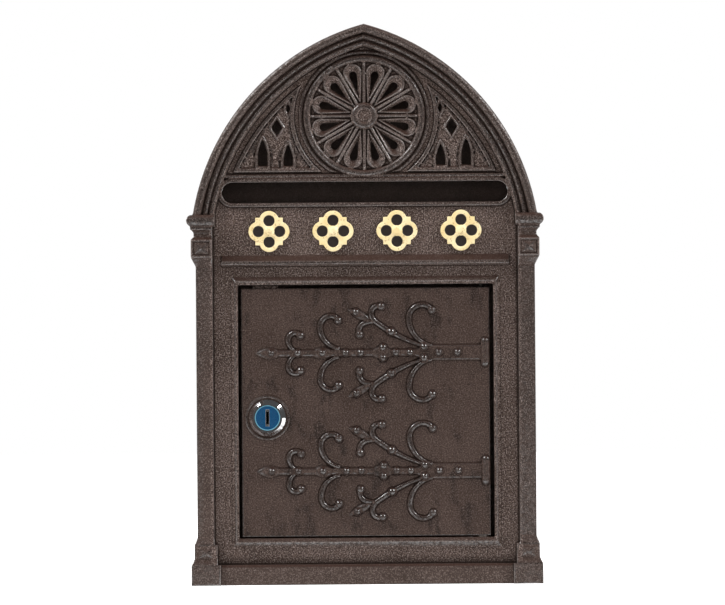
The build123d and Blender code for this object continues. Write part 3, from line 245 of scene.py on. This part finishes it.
class Relief:
    """Closed rounded forms half sunk in a face, gathered into one mesh."""

    BAR_SIDES = 14
    DOME_SIDES = 20
    DOME_STEPS = 14

    def __init__(self):
        self.shape = bmesh.new()

    def bar(self, path, halves, rises, squareness=1.0, face=FIELD_Y):
        """A bar along points (x, height). Its half width and rise are single values or one for each point,
        and its section is round at a squareness of 1 and squarer below."""
        points = [np.array(p, float) for p in path]
        halves = np.broadcast_to(halves, len(points))
        rises = np.broadcast_to(rises, len(points))
        rings = []
        for i, point in enumerate(points):
            ahead = points[min(i + 1, len(points) - 1)] - points[max(i - 1, 0)]
            ahead /= np.linalg.norm(ahead)
            side = np.array((-ahead[1], ahead[0]))
            ring = []
            for k in range(self.BAR_SIDES):
                turn = 2 * math.pi * k / self.BAR_SIDES
                across = signed_power(math.cos(turn), squareness) * halves[i]
                up = signed_power(math.sin(turn), squareness) * rises[i]
                x, z = point + side * across
                ring.append(self.shape.verts.new(at(x, face - up, z)))
            rings.append(ring)
        for lower, upper in zip(rings, rings[1:]):
            for k in range(self.BAR_SIDES):
                n = (k + 1) % self.BAR_SIDES
                self.shape.faces.new((lower[k], lower[n], upper[n], upper[k]))
        self.shape.faces.new(rings[0][::-1])
        self.shape.faces.new(rings[-1])

    def mirrored_bar(self, path, *sizes):
        """The same bar on the right and on the left."""
        for side in (1, -1):
            self.bar([(side * x, z) for x, z in path], *sizes)

    def dome(self, x, z, radius, rise):
        ball = bmesh.ops.create_uvsphere(
            self.shape, u_segments=self.DOME_SIDES, v_segments=self.DOME_STEPS, radius=1
        )
        for vert in ball["verts"]:
            a, b, c = vert.co
            vert.co = at(x + a * radius, FIELD_Y + b * rise, z + c * radius)

    def mesh(self, name):
        bmesh.ops.recalc_face_normals(self.shape, faces=self.shape.faces)
        made = bpy.data.meshes.new(name)
        self.shape.to_mesh(made)
        self.shape.free()
        return made


def apply_modifiers(piece):
    made = bpy.data.meshes.new_from_object(piece.evaluated_get(bpy.context.evaluated_depsgraph_get()))
    piece.modifiers.clear()
    piece.data = made


def points_of(mesh, what="co"):
    values = np.empty(len(mesh.vertices) * 3)
    mesh.vertices.foreach_get(what, values)
    return values.reshape(-1, 3)


def bulge(mesh, rounds):
    """How far each point stands over the average of its surroundings, in millimetres."""
    count = len(mesh.vertices)
    place = points_of(mesh)
    ends = np.empty(len(mesh.edges) * 2, int)
    mesh.edges.foreach_get("vertices", ends)
    first, last = ends.reshape(-1, 2).T
    degree = np.bincount(first, minlength=count) + np.bincount(last, minlength=count)
    calm = place.copy()
    for _ in range(rounds):
        for axis in range(3):
            total = np.bincount(first, calm[last, axis], count)
            total += np.bincount(last, calm[first, axis], count)
            calm[:, axis] = total / degree
    return ((place - calm) * points_of(mesh, "normal")).sum(1) / MM


def box_sum(cells, reach):
    """Sums of the cells within reach of each cell."""
    for axis in (0, 1):
        size = cells.shape[axis]
        total = np.insert(np.cumsum(cells, axis), 0, 0, axis)
        high = np.minimum(np.arange(size) + reach + 1, size)
        low = np.maximum(np.arange(size) - reach, 0)
        cells = total.take(high, axis) - total.take(low, axis)
    return cells


def sunk(mesh, reach):
    """How far each point lies behind the average front surface, in millimetres. The average is taken over
    cells of one millimetre."""
    place = points_of(mesh) / MM
    cell = tuple((place - place.min(0)).astype(int)[:, (0, 2)].T)
    far = place[:, 1].max()
    front_y = np.full((cell[0].max() + 1, cell[1].max() + 1), far)
    np.minimum.at(front_y, cell, place[:, 1])
    known = (front_y < far).astype(float)
    average = box_sum(front_y * known, reach) / np.maximum(box_sum(known, reach), 1)
    return place[:, 1] - average[cell]


def keep(mesh, name, values):
    """Stores a measure of each point for the paint."""
    mesh.attributes.new(name, "FLOAT", "POINT").data.foreach_set("value", values.astype(np.float32))


def cast(name, meshes, grid_size, faces):
    """One soft-edged skin over closed solids, with the measures that the paint's wear, painted highlights
    and painted shade follow.
    """
    shape = bmesh.new()
    for mesh in meshes:
        shape.from_mesh(mesh)
    bmesh.ops.remove_doubles(shape, verts=shape.verts, dist=WELD * MM)
    gathered = bpy.data.meshes.new(name)
    shape.to_mesh(gathered)
    shape.free()
    piece = new_object(name, gathered)
    skin = piece.modifiers.new("skin", "REMESH")
    skin.mode = "VOXEL"
    skin.voxel_size = grid_size * MM
    soften = piece.modifiers.new("soften", "SMOOTH")
    soften.factor = SOFTENING_SHARE
    soften.iterations = SOFTENING_ROUNDS
    apply_modifiers(piece)
    keep(piece.data, "bulge", bulge(piece.data, WEAR_ROUNDS))
    keep(piece.data, "sunk", sunk(piece.data, HOLLOW_SHADE_REACH))
    triangles = 2 * len(piece.data.polygons)
    if triangles > faces:
        fewer = piece.modifiers.new("fewer", "DECIMATE")
        fewer.ratio = faces / triangles
        apply_modifiers(piece)
    piece.data.shade_smooth()
    return piece


def flattened(mesh, y):
    """A copy of a mesh with everything in front of y pressed back to it."""
    flat = mesh.copy()
    place = points_of(flat)
    place[:, 1] = np.maximum(place[:, 1], y * MM)
    flat.vertices.foreach_set("co", place.ravel())
    return flat


# Ornament of the door


def tangent_arcs(start, heading, arcs):
    """Points about a millimetre apart along arcs that each go on from the last."""
    points = [start]
    for radius, turn in arcs:
        side = math.copysign(90, turn)
        centre = on_circle(*points[-1], radius, math.radians(heading + side))
        steps = max(FEWEST_STEPS, round(radius * math.radians(abs(turn))))
        for i in range(1, steps + 1):
            points.append(on_circle(*centre, radius, math.radians(heading - side + turn * i / steps)))
        heading += turn
    return points


def strap(relief, axis_z):
    """One strap: band, neck, stem, leaves, scrolls, domes and knuckle."""

    def place(points, flip=1):
        return [(DOOR_RIGHT + u, axis_z + flip * v) for u, v in points]

    def dome(u, v, radius=DOME_RADIUS):
        relief.dome(DOOR_RIGHT + u, axis_z + v, radius, DOME_RISE)

    def leaf(start, end, half_width, flip=1):
        swell = np.sin(np.pi * np.linspace(0, 1, LEAF_POINTS)) ** LEAF_FULLNESS
        halves = np.maximum(half_width * swell, LEAF_TIP_HALF)
        rises = np.maximum(LEAF_RISE * np.sqrt(swell), LEAF_TIP_RISE)
        relief.bar(place(np.linspace(start, end, LEAF_POINTS), flip), halves, rises)

    band = place([(BAND_END, 0.0), (BAND_START, 0.0)])
    relief.bar(band, BAND_HALF, BAND_RISE, BAND_SQUARENESS)
    neck = place([(u, 0.0) for u in np.linspace(NECK_END, BAND_END, 3)])
    relief.bar(neck, np.linspace(STEM_HALF, BAND_HALF, 3), BAND_RISE, NECK_SQUARENESS)
    stem = place([(STEM_END, 0.0), (NECK_END, 0.0)])
    relief.bar(stem, STEM_HALF, STEM_RISE, STEM_SQUARENESS)
    for axis_leaf in AXIS_LEAVES:
        leaf(*axis_leaf)
    for flip in (1, -1):
        for scroll in SCROLLS:
            points = place(tangent_arcs(*scroll), flip)
            share = np.linspace(0, 1, len(points))
            halves = np.interp(share, (0, SCROLL_MIDDLE, 1), SCROLL_HALF)
            rises = SCROLL_RISE * np.sqrt(halves / SCROLL_HALF[1])
            relief.bar(points, halves, rises, SCROLL_SQUARENESS)
            relief.dome(*points[-1], BALL_RADIUS, BALL_RISE)
        leaf(*BRANCH_LEAF, flip)
        for u, v in SIDE_DOMES:
            dome(u, flip * v)
        u, v = BRANCH_BOSS
        dome(u, flip * v, BRANCH_BOSS_RADIUS)
    for u in AXIS_DOMES:
        dome(u, 0.0)
    along = np.linspace(-KNUCKLE_HALF_LENGTH, KNUCKLE_HALF_LENGTH, KNUCKLE_POINTS)
    into_end = np.maximum(abs(along) - KNUCKLE_HALF_LENGTH + KNUCKLE_HALF, 0) / KNUCKLE_HALF
    swell = np.maximum(np.sqrt(np.maximum(1 - into_end**2, 0)), KNUCKLE_TIP)
    knuckle = place([(KNUCKLE_PLACE, v) for v in along])
    relief.bar(knuckle, KNUCKLE_HALF * swell, KNUCKLE_RISE * swell)


def door_relief():
    """Both straps and the raised ring round the lock."""
    relief = Relief()
    for axis_z in STRAP_AXES:
        strap(relief, axis_z)
    inner, outer = LOCK_SEAT
    turns = np.linspace(0, 2 * np.pi, LOCK_SEAT_POINTS)
    seat = [on_circle(LOCK_X, LOCK_Z, (inner + outer) / 2, turn) for turn in turns]
    relief.bar(seat, (outer - inner) / 2, LOCK_SEAT_RISE)
    return relief.mesh("door_relief")


# Ornament of the front


def rose_studs():
    relief = Relief()
    for i in range(PETALS):
        place = on_circle(0.0, ROSE_HEIGHT, STUD_CIRCLE, 2 * math.pi * i / PETALS)
        relief.dome(*place, STUD_RADIUS, STUD_RISE)
    return relief.mesh("rose_studs")


def lancet_path(place, tip):
    """Middle line of the roll round a pointed opening."""
    half = LANCET_HALF_WIDTH + RIM_HALF
    bottom = LANCET_BOTTOM - RIM_HALF
    shoulder = tip - LANCET_HEAD
    climb = np.linspace(0, 1, LANCET_HEAD_POINTS)
    widths = half * (1 - climb**LANCET_HEAD_CURVE)
    heights = shoulder + (LANCET_HEAD + RIM_HALF) * climb
    right = [(0.0, bottom), (half, bottom), (half, (bottom + shoulder) / 2), *zip(widths, heights)]
    left = [(-x, z) for x, z in right[-2::-1]]
    return [(place + x, z) for x, z in right + left]


def diamond_path(place, height, half_width, half_height):
    """Middle line of the roll round a diamond-shaped opening."""
    slant = math.hypot(half_width, half_height)
    w = half_width + RIM_HALF * slant / half_height
    h = half_height + RIM_HALF * slant / half_width
    corners = [(w, 0), (0, h), (-w, 0), (0, -h), (w, 0)]
    return [(place + x, height + z) for x, z in corners]


def tracery_rims():
    relief = Relief()
    paths = [lancet_path(*lancet) for lancet in LANCETS]
    paths += [diamond_path(*diamond) for diamond in DIAMONDS]
    for path in paths:
        relief.mirrored_bar(path, RIM_HALF, RIM_RISE)
    return relief.mesh("tracery_rims")


def block_frames():
    relief = Relief()
    half = BLOCK_FRAME_HALF
    inner, outer = BLOCK_SIDES
    bottom, top = BLOCK_HEIGHTS
    paths = [((inner, z), (outer, z)) for z in (bottom + half, top - half)]
    paths += [((x, bottom), (x, top)) for x in (inner + half, outer - half)]
    for path in paths:
        relief.mirrored_bar(path, half, BLOCK_FRAME_RISE, BLOCK_FRAME_SQUARENESS, BLOCK_Y)
    return relief.mesh("block_frames")


# Materials


class Graph:
    """A node tree, with short names for what is used often."""

    def __init__(self, tree):
        self.tree = tree

    def node(self, kind, **settings):
        made = self.tree.nodes.new(kind)
        for key, value in settings.items():
            setattr(made, key, value)
        return made

    def put(self, socket, value):
        """Links a socket to another one, or sets its value."""
        if isinstance(value, bpy.types.NodeSocket):
            self.tree.links.new(value, socket)
        else:
            socket.default_value = value

    def spread(self, value, low, high, start=0.0, end=1.0):
        """Takes low to start and high to end, and stays there beyond them."""
        made = self.node("ShaderNodeMapRange")
        for i, item in enumerate((value, low, high, start, end)):
            self.put(made.inputs[i], item)
        return made.outputs[0]

    def math(self, operation, a, b=0.0):
        made = self.node("ShaderNodeMath", operation=operation)
        self.put(made.inputs[0], a)
        self.put(made.inputs[1], b)
        return made.outputs[0]

    def part(self, vector, axis):
        made = self.node("ShaderNodeSeparateXYZ")
        self.put(made.inputs[0], vector)
        return made.outputs[axis]


class Paint(Graph):
    """A node material on object coordinates."""

    def __init__(self, name):
        self.material = bpy.data.materials.new(name)
        self.material.use_nodes = True
        super().__init__(self.material.node_tree)
        self.surface = self.tree.nodes["Principled BSDF"]
        self.place = self.node("ShaderNodeTexCoord").outputs["Object"]

    def noise(self, size, detail=2.0, roughness=0.5, stretch=(1, 1, 1)):
        """Noise whose features are about size millimetres across."""
        place = self.node("ShaderNodeMapping")
        self.put(place.inputs["Vector"], self.place)
        self.put(place.inputs["Scale"], stretch)
        made = self.node("ShaderNodeTexNoise")
        self.put(made.inputs["Vector"], place.outputs[0])
        self.put(made.inputs["Scale"], 1 / (size * MM))
        self.put(made.inputs["Detail"], detail)
        self.put(made.inputs["Roughness"], roughness)
        return made.outputs[0]

    def mix(self, share, a, b):
        made = self.node("ShaderNodeMix", data_type="RGBA")
        self.put(made.inputs[0], share)
        for socket, colour in ((made.inputs[6], a), (made.inputs[7], b)):
            self.put(socket, colour if isinstance(colour, bpy.types.NodeSocket) else (*colour, 1))
        return made.outputs[2]

    def cover(self, colour, mask, share, other):
        """Another colour over the first one where the mask is 1, at most by the given share."""
        return self.mix(self.spread(mask, 0.0, 1.0, 0.0, share), colour, other)

    def bump(self, height, depth, strength=1.0, normal=None):
        """Tilts the surface as if height, from 0 to 1, stood depth millimetres tall."""
        made = self.node("ShaderNodeBump")
        self.put(made.inputs["Strength"], strength)
        self.put(made.inputs["Distance"], depth * MM)
        self.put(made.inputs["Height"], height)
        if normal:
            self.put(made.inputs["Normal"], normal)
        return made.outputs[0]

    def attribute(self, name):
        return self.node("ShaderNodeAttribute", attribute_name=name).outputs["Fac"]

    def normal(self, axis):
        return self.part(self.node("ShaderNodeNewGeometry").outputs["Normal"], axis)

    def from_lock(self, axis):
        """Distance from the lock's axis to the side or up, in metres."""
        centre = at(LOCK_X, FIELD_Y, LOCK_Z)["XYZ".index(axis)]
        return self.math("ABSOLUTE", self.math("SUBTRACT", self.part(self.place, axis), centre))

    def key_slot(self, half_width, half_length):
        """1 within a slot round the lock's axis, 0 outside."""
        insides = []
        for axis, half in (("X", half_width), ("Z", half_length)):
            insides.append(self.spread(self.from_lock(axis), half * MM, (half + SLOT_FADE) * MM, 1.0, 0.0))
        return self.math("MULTIPLY", *insides)

    def finish(self, **inputs):
        for name, value in inputs.items():
            self.put(self.surface.inputs[name.replace("_", " ")], value)
        return self.material


def toned(colour, tone):
    return tuple(np.multiply(colour, tone))


def dressed_places(paint):
    """1 out beyond the pilasters' inner line and below the plinth's top edge, 0 elsewhere."""
    start, full = DRESSED_SIDE
    aside = paint.math("ABSOLUTE", paint.part(paint.place, "X"))
    aside = paint.spread(aside, start * MM, full * MM)
    start, full = [(height - WALL_SCREW_CENTRE) * MM for height in DRESSED_FOOT]
    return paint.math("MAXIMUM", aside, paint.spread(paint.part(paint.place, "Z"), start, full))


def casting_paint(name, dark, light, rub_and_highlight, grain_depth, wear, edge_wear_and_highlight, stain_share):
    """Sand-cast iron under thin brown paint: grainy, smooth on rolls and ledges, pale on edges from worn
    paint and painted highlights, with painted shade on rolls, up-facing ledges and recesses and painted
    glints on the grain.
    """
    paint = Paint(name)
    grain = paint.noise(size=0.95, detail=1.0)
    glint = paint.noise(size=1.0, detail=0.0, stretch=(1.1, 1, 0.9))
    skin = paint.noise(size=6.0)
    blotch = paint.noise(size=38.0, detail=4.0, roughness=0.6)
    stain = paint.noise(size=16.0, detail=4.0, roughness=0.7, stretch=(1.5, 1, 0.6))
    patch = paint.noise(size=2.5)
    bulge_mm = paint.attribute("bulge")
    sunk_mm = paint.attribute("sunk")

    ledge = paint.spread(paint.normal("Z"), *LEDGE_TILT)
    roll = paint.spread(bulge_mm, *ROLL_BULGE)
    smooth = paint.math("MAXIMUM", roll, ledge)
    dressed = dressed_places(paint)
    even = paint.math("MAXIMUM", smooth, dressed)
    grit = paint.spread(even, 0.0, 1.0, wear, wear * SMOOTH_GRIT)
    rear = paint.spread(paint.normal("Y"), *REAR_TILT)
    deep = paint.math("SUBTRACT", paint.spread(sunk_mm, *HOLLOW_DEPTH), rear)
    hollow_shade = paint.math("MAXIMUM", paint.spread(bulge_mm, *HOLLOW_BULGE), deep)
    # pale edges: worn paint and a painted highlight along convex edges
    edge = paint.spread(grain, 0.4, 0.6, 0.3, edge_wear_and_highlight)
    edge = paint.math("MULTIPLY", paint.spread(bulge_mm, *EDGE_BULGE), edge)
    polish = paint.math("MULTIPLY", roll, paint.spread(patch, 0.4, 0.6, 0.2, 1.0))

    colour = paint.mix(paint.spread(blotch, 0.38, 0.62), dark, light)
    colour = paint.mix(paint.spread(stain, 0.54, 0.66, 0.0, stain_share), colour, toned(dark, STAIN_TONE))
    colour = paint.cover(colour, dressed, DRESSED_COVER, toned(dark, DRESSED_TONE))
    # painted shade: rolls and up-facing ledges painted darker
    colour = paint.cover(colour, smooth, SMOOTH_SHADE_COVER, toned(dark, SMOOTH_SHADE_TONE))
    colour = paint.mix(paint.spread(grain, 0.5, 0.36, 0.0, grit), colour, toned(dark, PIT_TONE))
    colour = paint.mix(paint.spread(grain, 0.54, 0.68, 0.0, grit), colour, rub_and_highlight)
    # painted highlight: bright glint specks on the grain
    colour = paint.mix(paint.spread(glint, 0.68, 0.74, 0.0, grit), colour, toned(rub_and_highlight, GLINT_TONE))
    colour = paint.mix(edge, colour, rub_and_highlight)
    # painted shade on up-facing ledges
    colour = paint.cover(colour, ledge, LEDGE_SHADE_COVER, toned(dark, LEDGE_SHADE_TONE))
    # painted shade in recesses and concave corners
    colour = paint.cover(colour, hollow_shade, HOLLOW_SHADE_COVER, toned(dark, HOLLOW_SHADE_TONE))

    bump_share = paint.spread(smooth, 0.0, 1.0, 1.0, SMOOTH_BUMP)
    normal = paint.bump(skin, grain_depth * 2, bump_share)
    normal = paint.bump(grain, grain_depth, bump_share, normal)
    roughness = paint.spread(polish, 0.0, 1.0, *CASTING_ROUGHNESS)
    specular = paint.spread(polish, 0.0, 1.0, *CASTING_SPECULAR)
    # painted shade: recesses also lose most of their reflection
    specular = paint.spread(hollow_shade, 0.0, 0.8, specular, HOLLOW_SPECULAR)
    return paint.finish(
        Base_Color=colour,
        Roughness=roughness,
        Normal=normal,
        Specular_IOR_Level=specular,
        IOR=CASTING_IOR,
    )


def gold_paint():
    """Pale gold on the tops of the ornaments; their sides stay brown."""
    paint = Paint("gold_paint")
    pits = paint.noise(size=1.5, detail=3.0, roughness=0.6)
    patches = paint.noise(size=9.0, detail=3.0)
    gold = paint.mix(paint.spread(patches, 0.35, 0.65), (0.80, 0.62, 0.30), (0.88, 0.73, 0.44))
    gold = paint.mix(paint.spread(pits, 0.42, 0.30), gold, (0.42, 0.28, 0.11))
    stray = paint.spread(pits, 0.3, 0.7, -GOLD_STRAY * MM, GOLD_STRAY * MM)
    depth = paint.math("ADD", paint.part(paint.place, "Y"), stray)
    full, end = [(FIELD_Y - rise) * MM for rise in GOLD_EDGE]
    colour = paint.mix(paint.spread(depth, full, end), gold, (0.018, 0.012, 0.010))
    return paint.finish(Base_Color=colour, Roughness=0.5, Normal=paint.bump(pits, depth=0.22))


def sheet_paint():
    """Brown powder coat with orange peel, specks, dusty blotches and scuffs."""
    paint = Paint("painted_sheet")
    peel = paint.noise(size=1.4)
    speck = paint.noise(size=0.9, detail=1.0)
    blotch = paint.noise(size=45.0, detail=4.0, roughness=0.6)
    scuff = paint.noise(size=9.0, detail=5.0, roughness=0.7, stretch=(1, 1, 0.15))
    colour = paint.mix(paint.spread(blotch, 0.36, 0.64), (0.054, 0.035, 0.028), (0.076, 0.051, 0.042))
    colour = paint.mix(paint.spread(speck, 0.55, 0.7, 0.0, 0.45), colour, (0.130, 0.100, 0.086))
    colour = paint.mix(paint.spread(speck, 0.45, 0.3, 0.0, 0.5), colour, (0.016, 0.011, 0.009))
    colour = paint.mix(paint.spread(scuff, 0.63, 0.74, 0.0, 0.5), colour, (0.150, 0.122, 0.108))
    roughness = paint.spread(blotch, 0.3, 0.7, 0.42, 0.55)
    return paint.finish(Base_Color=colour, Roughness=roughness, Normal=paint.bump(peel, depth=0.12))


def bare_metal(name, dull, bright, cloud_size, rough, depth=0.02, keyway_shade=False):
    """Cloudy metal, rougher where it is dull; a lock's key slot is painted black inside as shade."""
    paint = Paint(name)
    cloud = paint.noise(size=cloud_size, detail=3.0, roughness=0.6)
    colour = paint.mix(paint.spread(cloud, 0.35, 0.65), dull, bright)
    if keyway_shade:
        # painted shade: the inside of the key slot is painted near-black
        colour = paint.mix(paint.key_slot(*PLUG_SLOT), colour, (0.012, 0.011, 0.010))
    low, high = rough
    roughness = paint.spread(cloud, 0.3, 0.7, high, low)
    normal = paint.bump(cloud, depth)
    return paint.finish(Base_Color=colour, Roughness=roughness, Normal=normal, Metallic=1.0)


def blue_face():
    """Blue enamel with a paler edge, and bare metal round the key slot."""
    paint = Paint("blue_face")
    swirl = paint.noise(size=0.7)
    squares = [paint.math("POWER", paint.from_lock(axis), 2) for axis in "XZ"]
    away = paint.math("SQRT", paint.math("ADD", *squares))
    start, full = DISC_RIM
    colour = paint.mix(paint.spread(swirl, 0.3, 0.7), (0.005, 0.040, 0.100), (0.009, 0.060, 0.138))
    colour = paint.mix(paint.spread(away, start * MM, full * MM), colour, (0.12, 0.32, 0.42))
    bare = paint.key_slot(*DISC_SLOT)
    colour = paint.mix(bare, colour, (0.55, 0.56, 0.56))
    return paint.finish(
        Base_Color=colour,
        Roughness=0.2,
        Normal=paint.bump(swirl, depth=0.02),
        Metallic=bare,
        Specular_IOR_Level=0.25,
    )


def coat(piece, material):
    piece.data.materials.clear()
    piece.data.materials.append(material)


# Stage


def mixed_background(graph, output, seen, lit):
    """Rays that show the background take the seen shader, and all others the lit one."""
    rays = graph.node("ShaderNodeLightPath").outputs
    share = rays["Is Camera Ray"]
    for name in ("Is Glossy Ray", "Is Transmission Ray"):
        share = graph.math("MAXIMUM", share, rays[name])
    mix = graph.node("ShaderNodeMixShader")
    for socket, value in zip(mix.inputs, (share, lit.outputs[0], seen.outputs[0])):
        graph.put(socket, value)
    graph.put(graph.tree.nodes[output].inputs["Surface"], mix.outputs[0])


def studio_world():
    """White behind the object and for the camera; the room in front and its ceiling are darker."""
    world = bpy.data.worlds.new("studio")
    world.use_nodes = True
    bpy.context.scene.world = world
    graph = Graph(world.node_tree)
    seen = graph.tree.nodes["Background"]
    lit = graph.node("ShaderNodeBackground")
    for shader in (seen, lit):
        graph.put(shader.inputs["Color"], (1, 1, 1, 1))
    direction = graph.node("ShaderNodeTexCoord").outputs["Generated"]
    light = graph.spread(graph.part(direction, "Z"), *CEILING_SLOPE, ROOM_LIGHT, CEILING_LIGHT)
    graph.put(lit.inputs["Strength"], light)
    mirrored = graph.spread(graph.part(direction, "Y"), *WHITE_SLOPE, ROOM_MIRRORED, 1.0)
    by_camera = graph.node("ShaderNodeLightPath").outputs["Is Camera Ray"]
    graph.put(seen.inputs["Strength"], graph.math("MAXIMUM", by_camera, mirrored))
    mixed_background(graph, "World Output", seen, lit)


def floor():
    """Pale floor, white in the distance and with room for a shadow near the object."""
    bpy.ops.mesh.primitive_plane_add(size=FLOOR_SIDE * MM, location=at(*FLOOR_CENTRE))
    plane = bpy.context.object
    plane.name = "floor"
    paint = Paint("floor")
    away = paint.node("ShaderNodeVectorMath", operation="LENGTH")
    paint.put(away.inputs[0], paint.node("ShaderNodeNewGeometry").outputs["Position"])
    near, far = FLOOR_FADE
    glow = paint.node("ShaderNodeEmission")
    strength = paint.spread(away.outputs["Value"], near * MM, far * MM, *FLOOR_GLOW)
    paint.put(glow.inputs["Strength"], strength)
    both = paint.node("ShaderNodeAddShader")
    paint.put(both.inputs[0], paint.surface.outputs[0])
    paint.put(both.inputs[1], glow.outputs[0])
    mixed_background(paint, "Material Output", both, paint.surface)
    coat(plane, paint.finish(Base_Color=FLOOR_COLOUR, Roughness=0.9, Specular_IOR_Level=0.0))


def lamp(name, place, side, radiance, mirrored):
    """A square soft light aimed at the object."""
    data = bpy.data.lights.new(name, "AREA")
    data.shape = "SQUARE"
    data.size = side * MM
    data.energy = radiance * math.pi * data.size**2
    made = new_object(name, data)
    made.location = at(*place)
    made.rotation_euler = (at(*LAMP_TARGET) - made.location).to_track_quat("-Z", "Y").to_euler()
    made.visible_glossy = mirrored


def camera():
    data = bpy.data.cameras.new("camera")
    data.sensor_width = SENSOR
    data.lens = CAMERA_DISTANCE * SENSOR / (IMAGE_WIDTH * SCALE)
    data.clip_end = CAMERA_REACH * MM
    made = new_object("camera", data)
    made.location = at(AIM[0], FIELD_Y - CAMERA_DISTANCE, AIM[1])
    made.rotation_euler = Euler((math.radians(90), math.radians(ROLL), 0))
    bpy.context.scene.camera = made


# Pieces in place of CAD nodes

grid = FINE_GRID

front_meshes = [nodes["front_frame"].data, rose_studs(), tracery_rims(), block_frames()]
front = cast("front_casting", front_meshes, grid, CASTING_FACES)
front_paint = casting_paint(
    "brown_casting",
    dark=(0.068, 0.044, 0.035),
    light=(0.098, 0.066, 0.055),
    rub_and_highlight=(0.235, 0.188, 0.170),
    grain_depth=0.35,
    wear=0.85,
    edge_wear_and_highlight=0.9,
    stain_share=0.25,
)
coat(front, front_paint)
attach(front, "case")
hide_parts("front_frame")

door = cast("door_casting", [flattened(nodes["door"].data, FIELD_Y), door_relief()], grid, DOOR_FACES)
door_paint = casting_paint(
    "door_casting",
    dark=(0.044, 0.027, 0.021),
    light=(0.058, 0.037, 0.030),
    rub_and_highlight=(0.115, 0.084, 0.073),
    grain_depth=0.25,
    wear=0.55,
    edge_wear_and_highlight=0.5,
    stain_share=0.8,
)
coat(door, door_paint)
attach(door, "door")
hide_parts("door")

ornaments = cast("gold_ornaments", [nodes["frieze_ornaments"].data], ORNAMENT_GRID, ORNAMENT_FACES)
coat(ornaments, gold_paint())
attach(ornaments, "case")
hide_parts("frieze_ornaments")

# Carried CAD nodes

slot_paints = {
    "painted_sheet": sheet_paint(),
    "zinc_steel": bare_metal(
        "zinc_steel", (0.42, 0.42, 0.41), (0.58, 0.58, 0.57), cloud_size=3.0, rough=(0.30, 0.45)
    ),
    "chrome": bare_metal(
        "chrome", (0.56, 0.56, 0.57), (0.64, 0.64, 0.65), cloud_size=6.0, rough=(0.04, 0.08), depth=0.004
    ),
    "lock_brass": bare_metal(
        "lock_brass", (0.45, 0.34, 0.15), (0.62, 0.49, 0.24), cloud_size=2.0, rough=(0.25, 0.4), keyway_shade=True
    ),
    "blue_face": blue_face(),
}
slot_of = {part["node"]: part["material_slot"] for part in frame["record"]["subparts"]}
for name, node in nodes.items():
    if slot_of[name] in slot_paints:
        coat(node, slot_paints[slot_of[name]])
oiled_steel = bare_metal(
    "oiled_steel", (0.03, 0.028, 0.026), (0.06, 0.055, 0.05), cloud_size=3.0, rough=(0.4, 0.55)
)
for name in ("upper_hinge_pin", "lower_hinge_pin"):
    coat(nodes[name], oiled_steel)
worn_steel = bare_metal(
    "worn_steel", (0.10, 0.085, 0.075), (0.19, 0.165, 0.15), cloud_size=3.0, rough=(0.4, 0.55)
)
coat(nodes["hinge_washer"], worn_steel)

# Stage and camera

studio_world()
floor()
for lamp_values in LAMPS:
    lamp(*lamp_values)
camera()
bpy.context.scene.view_settings.view_transform = "Standard"
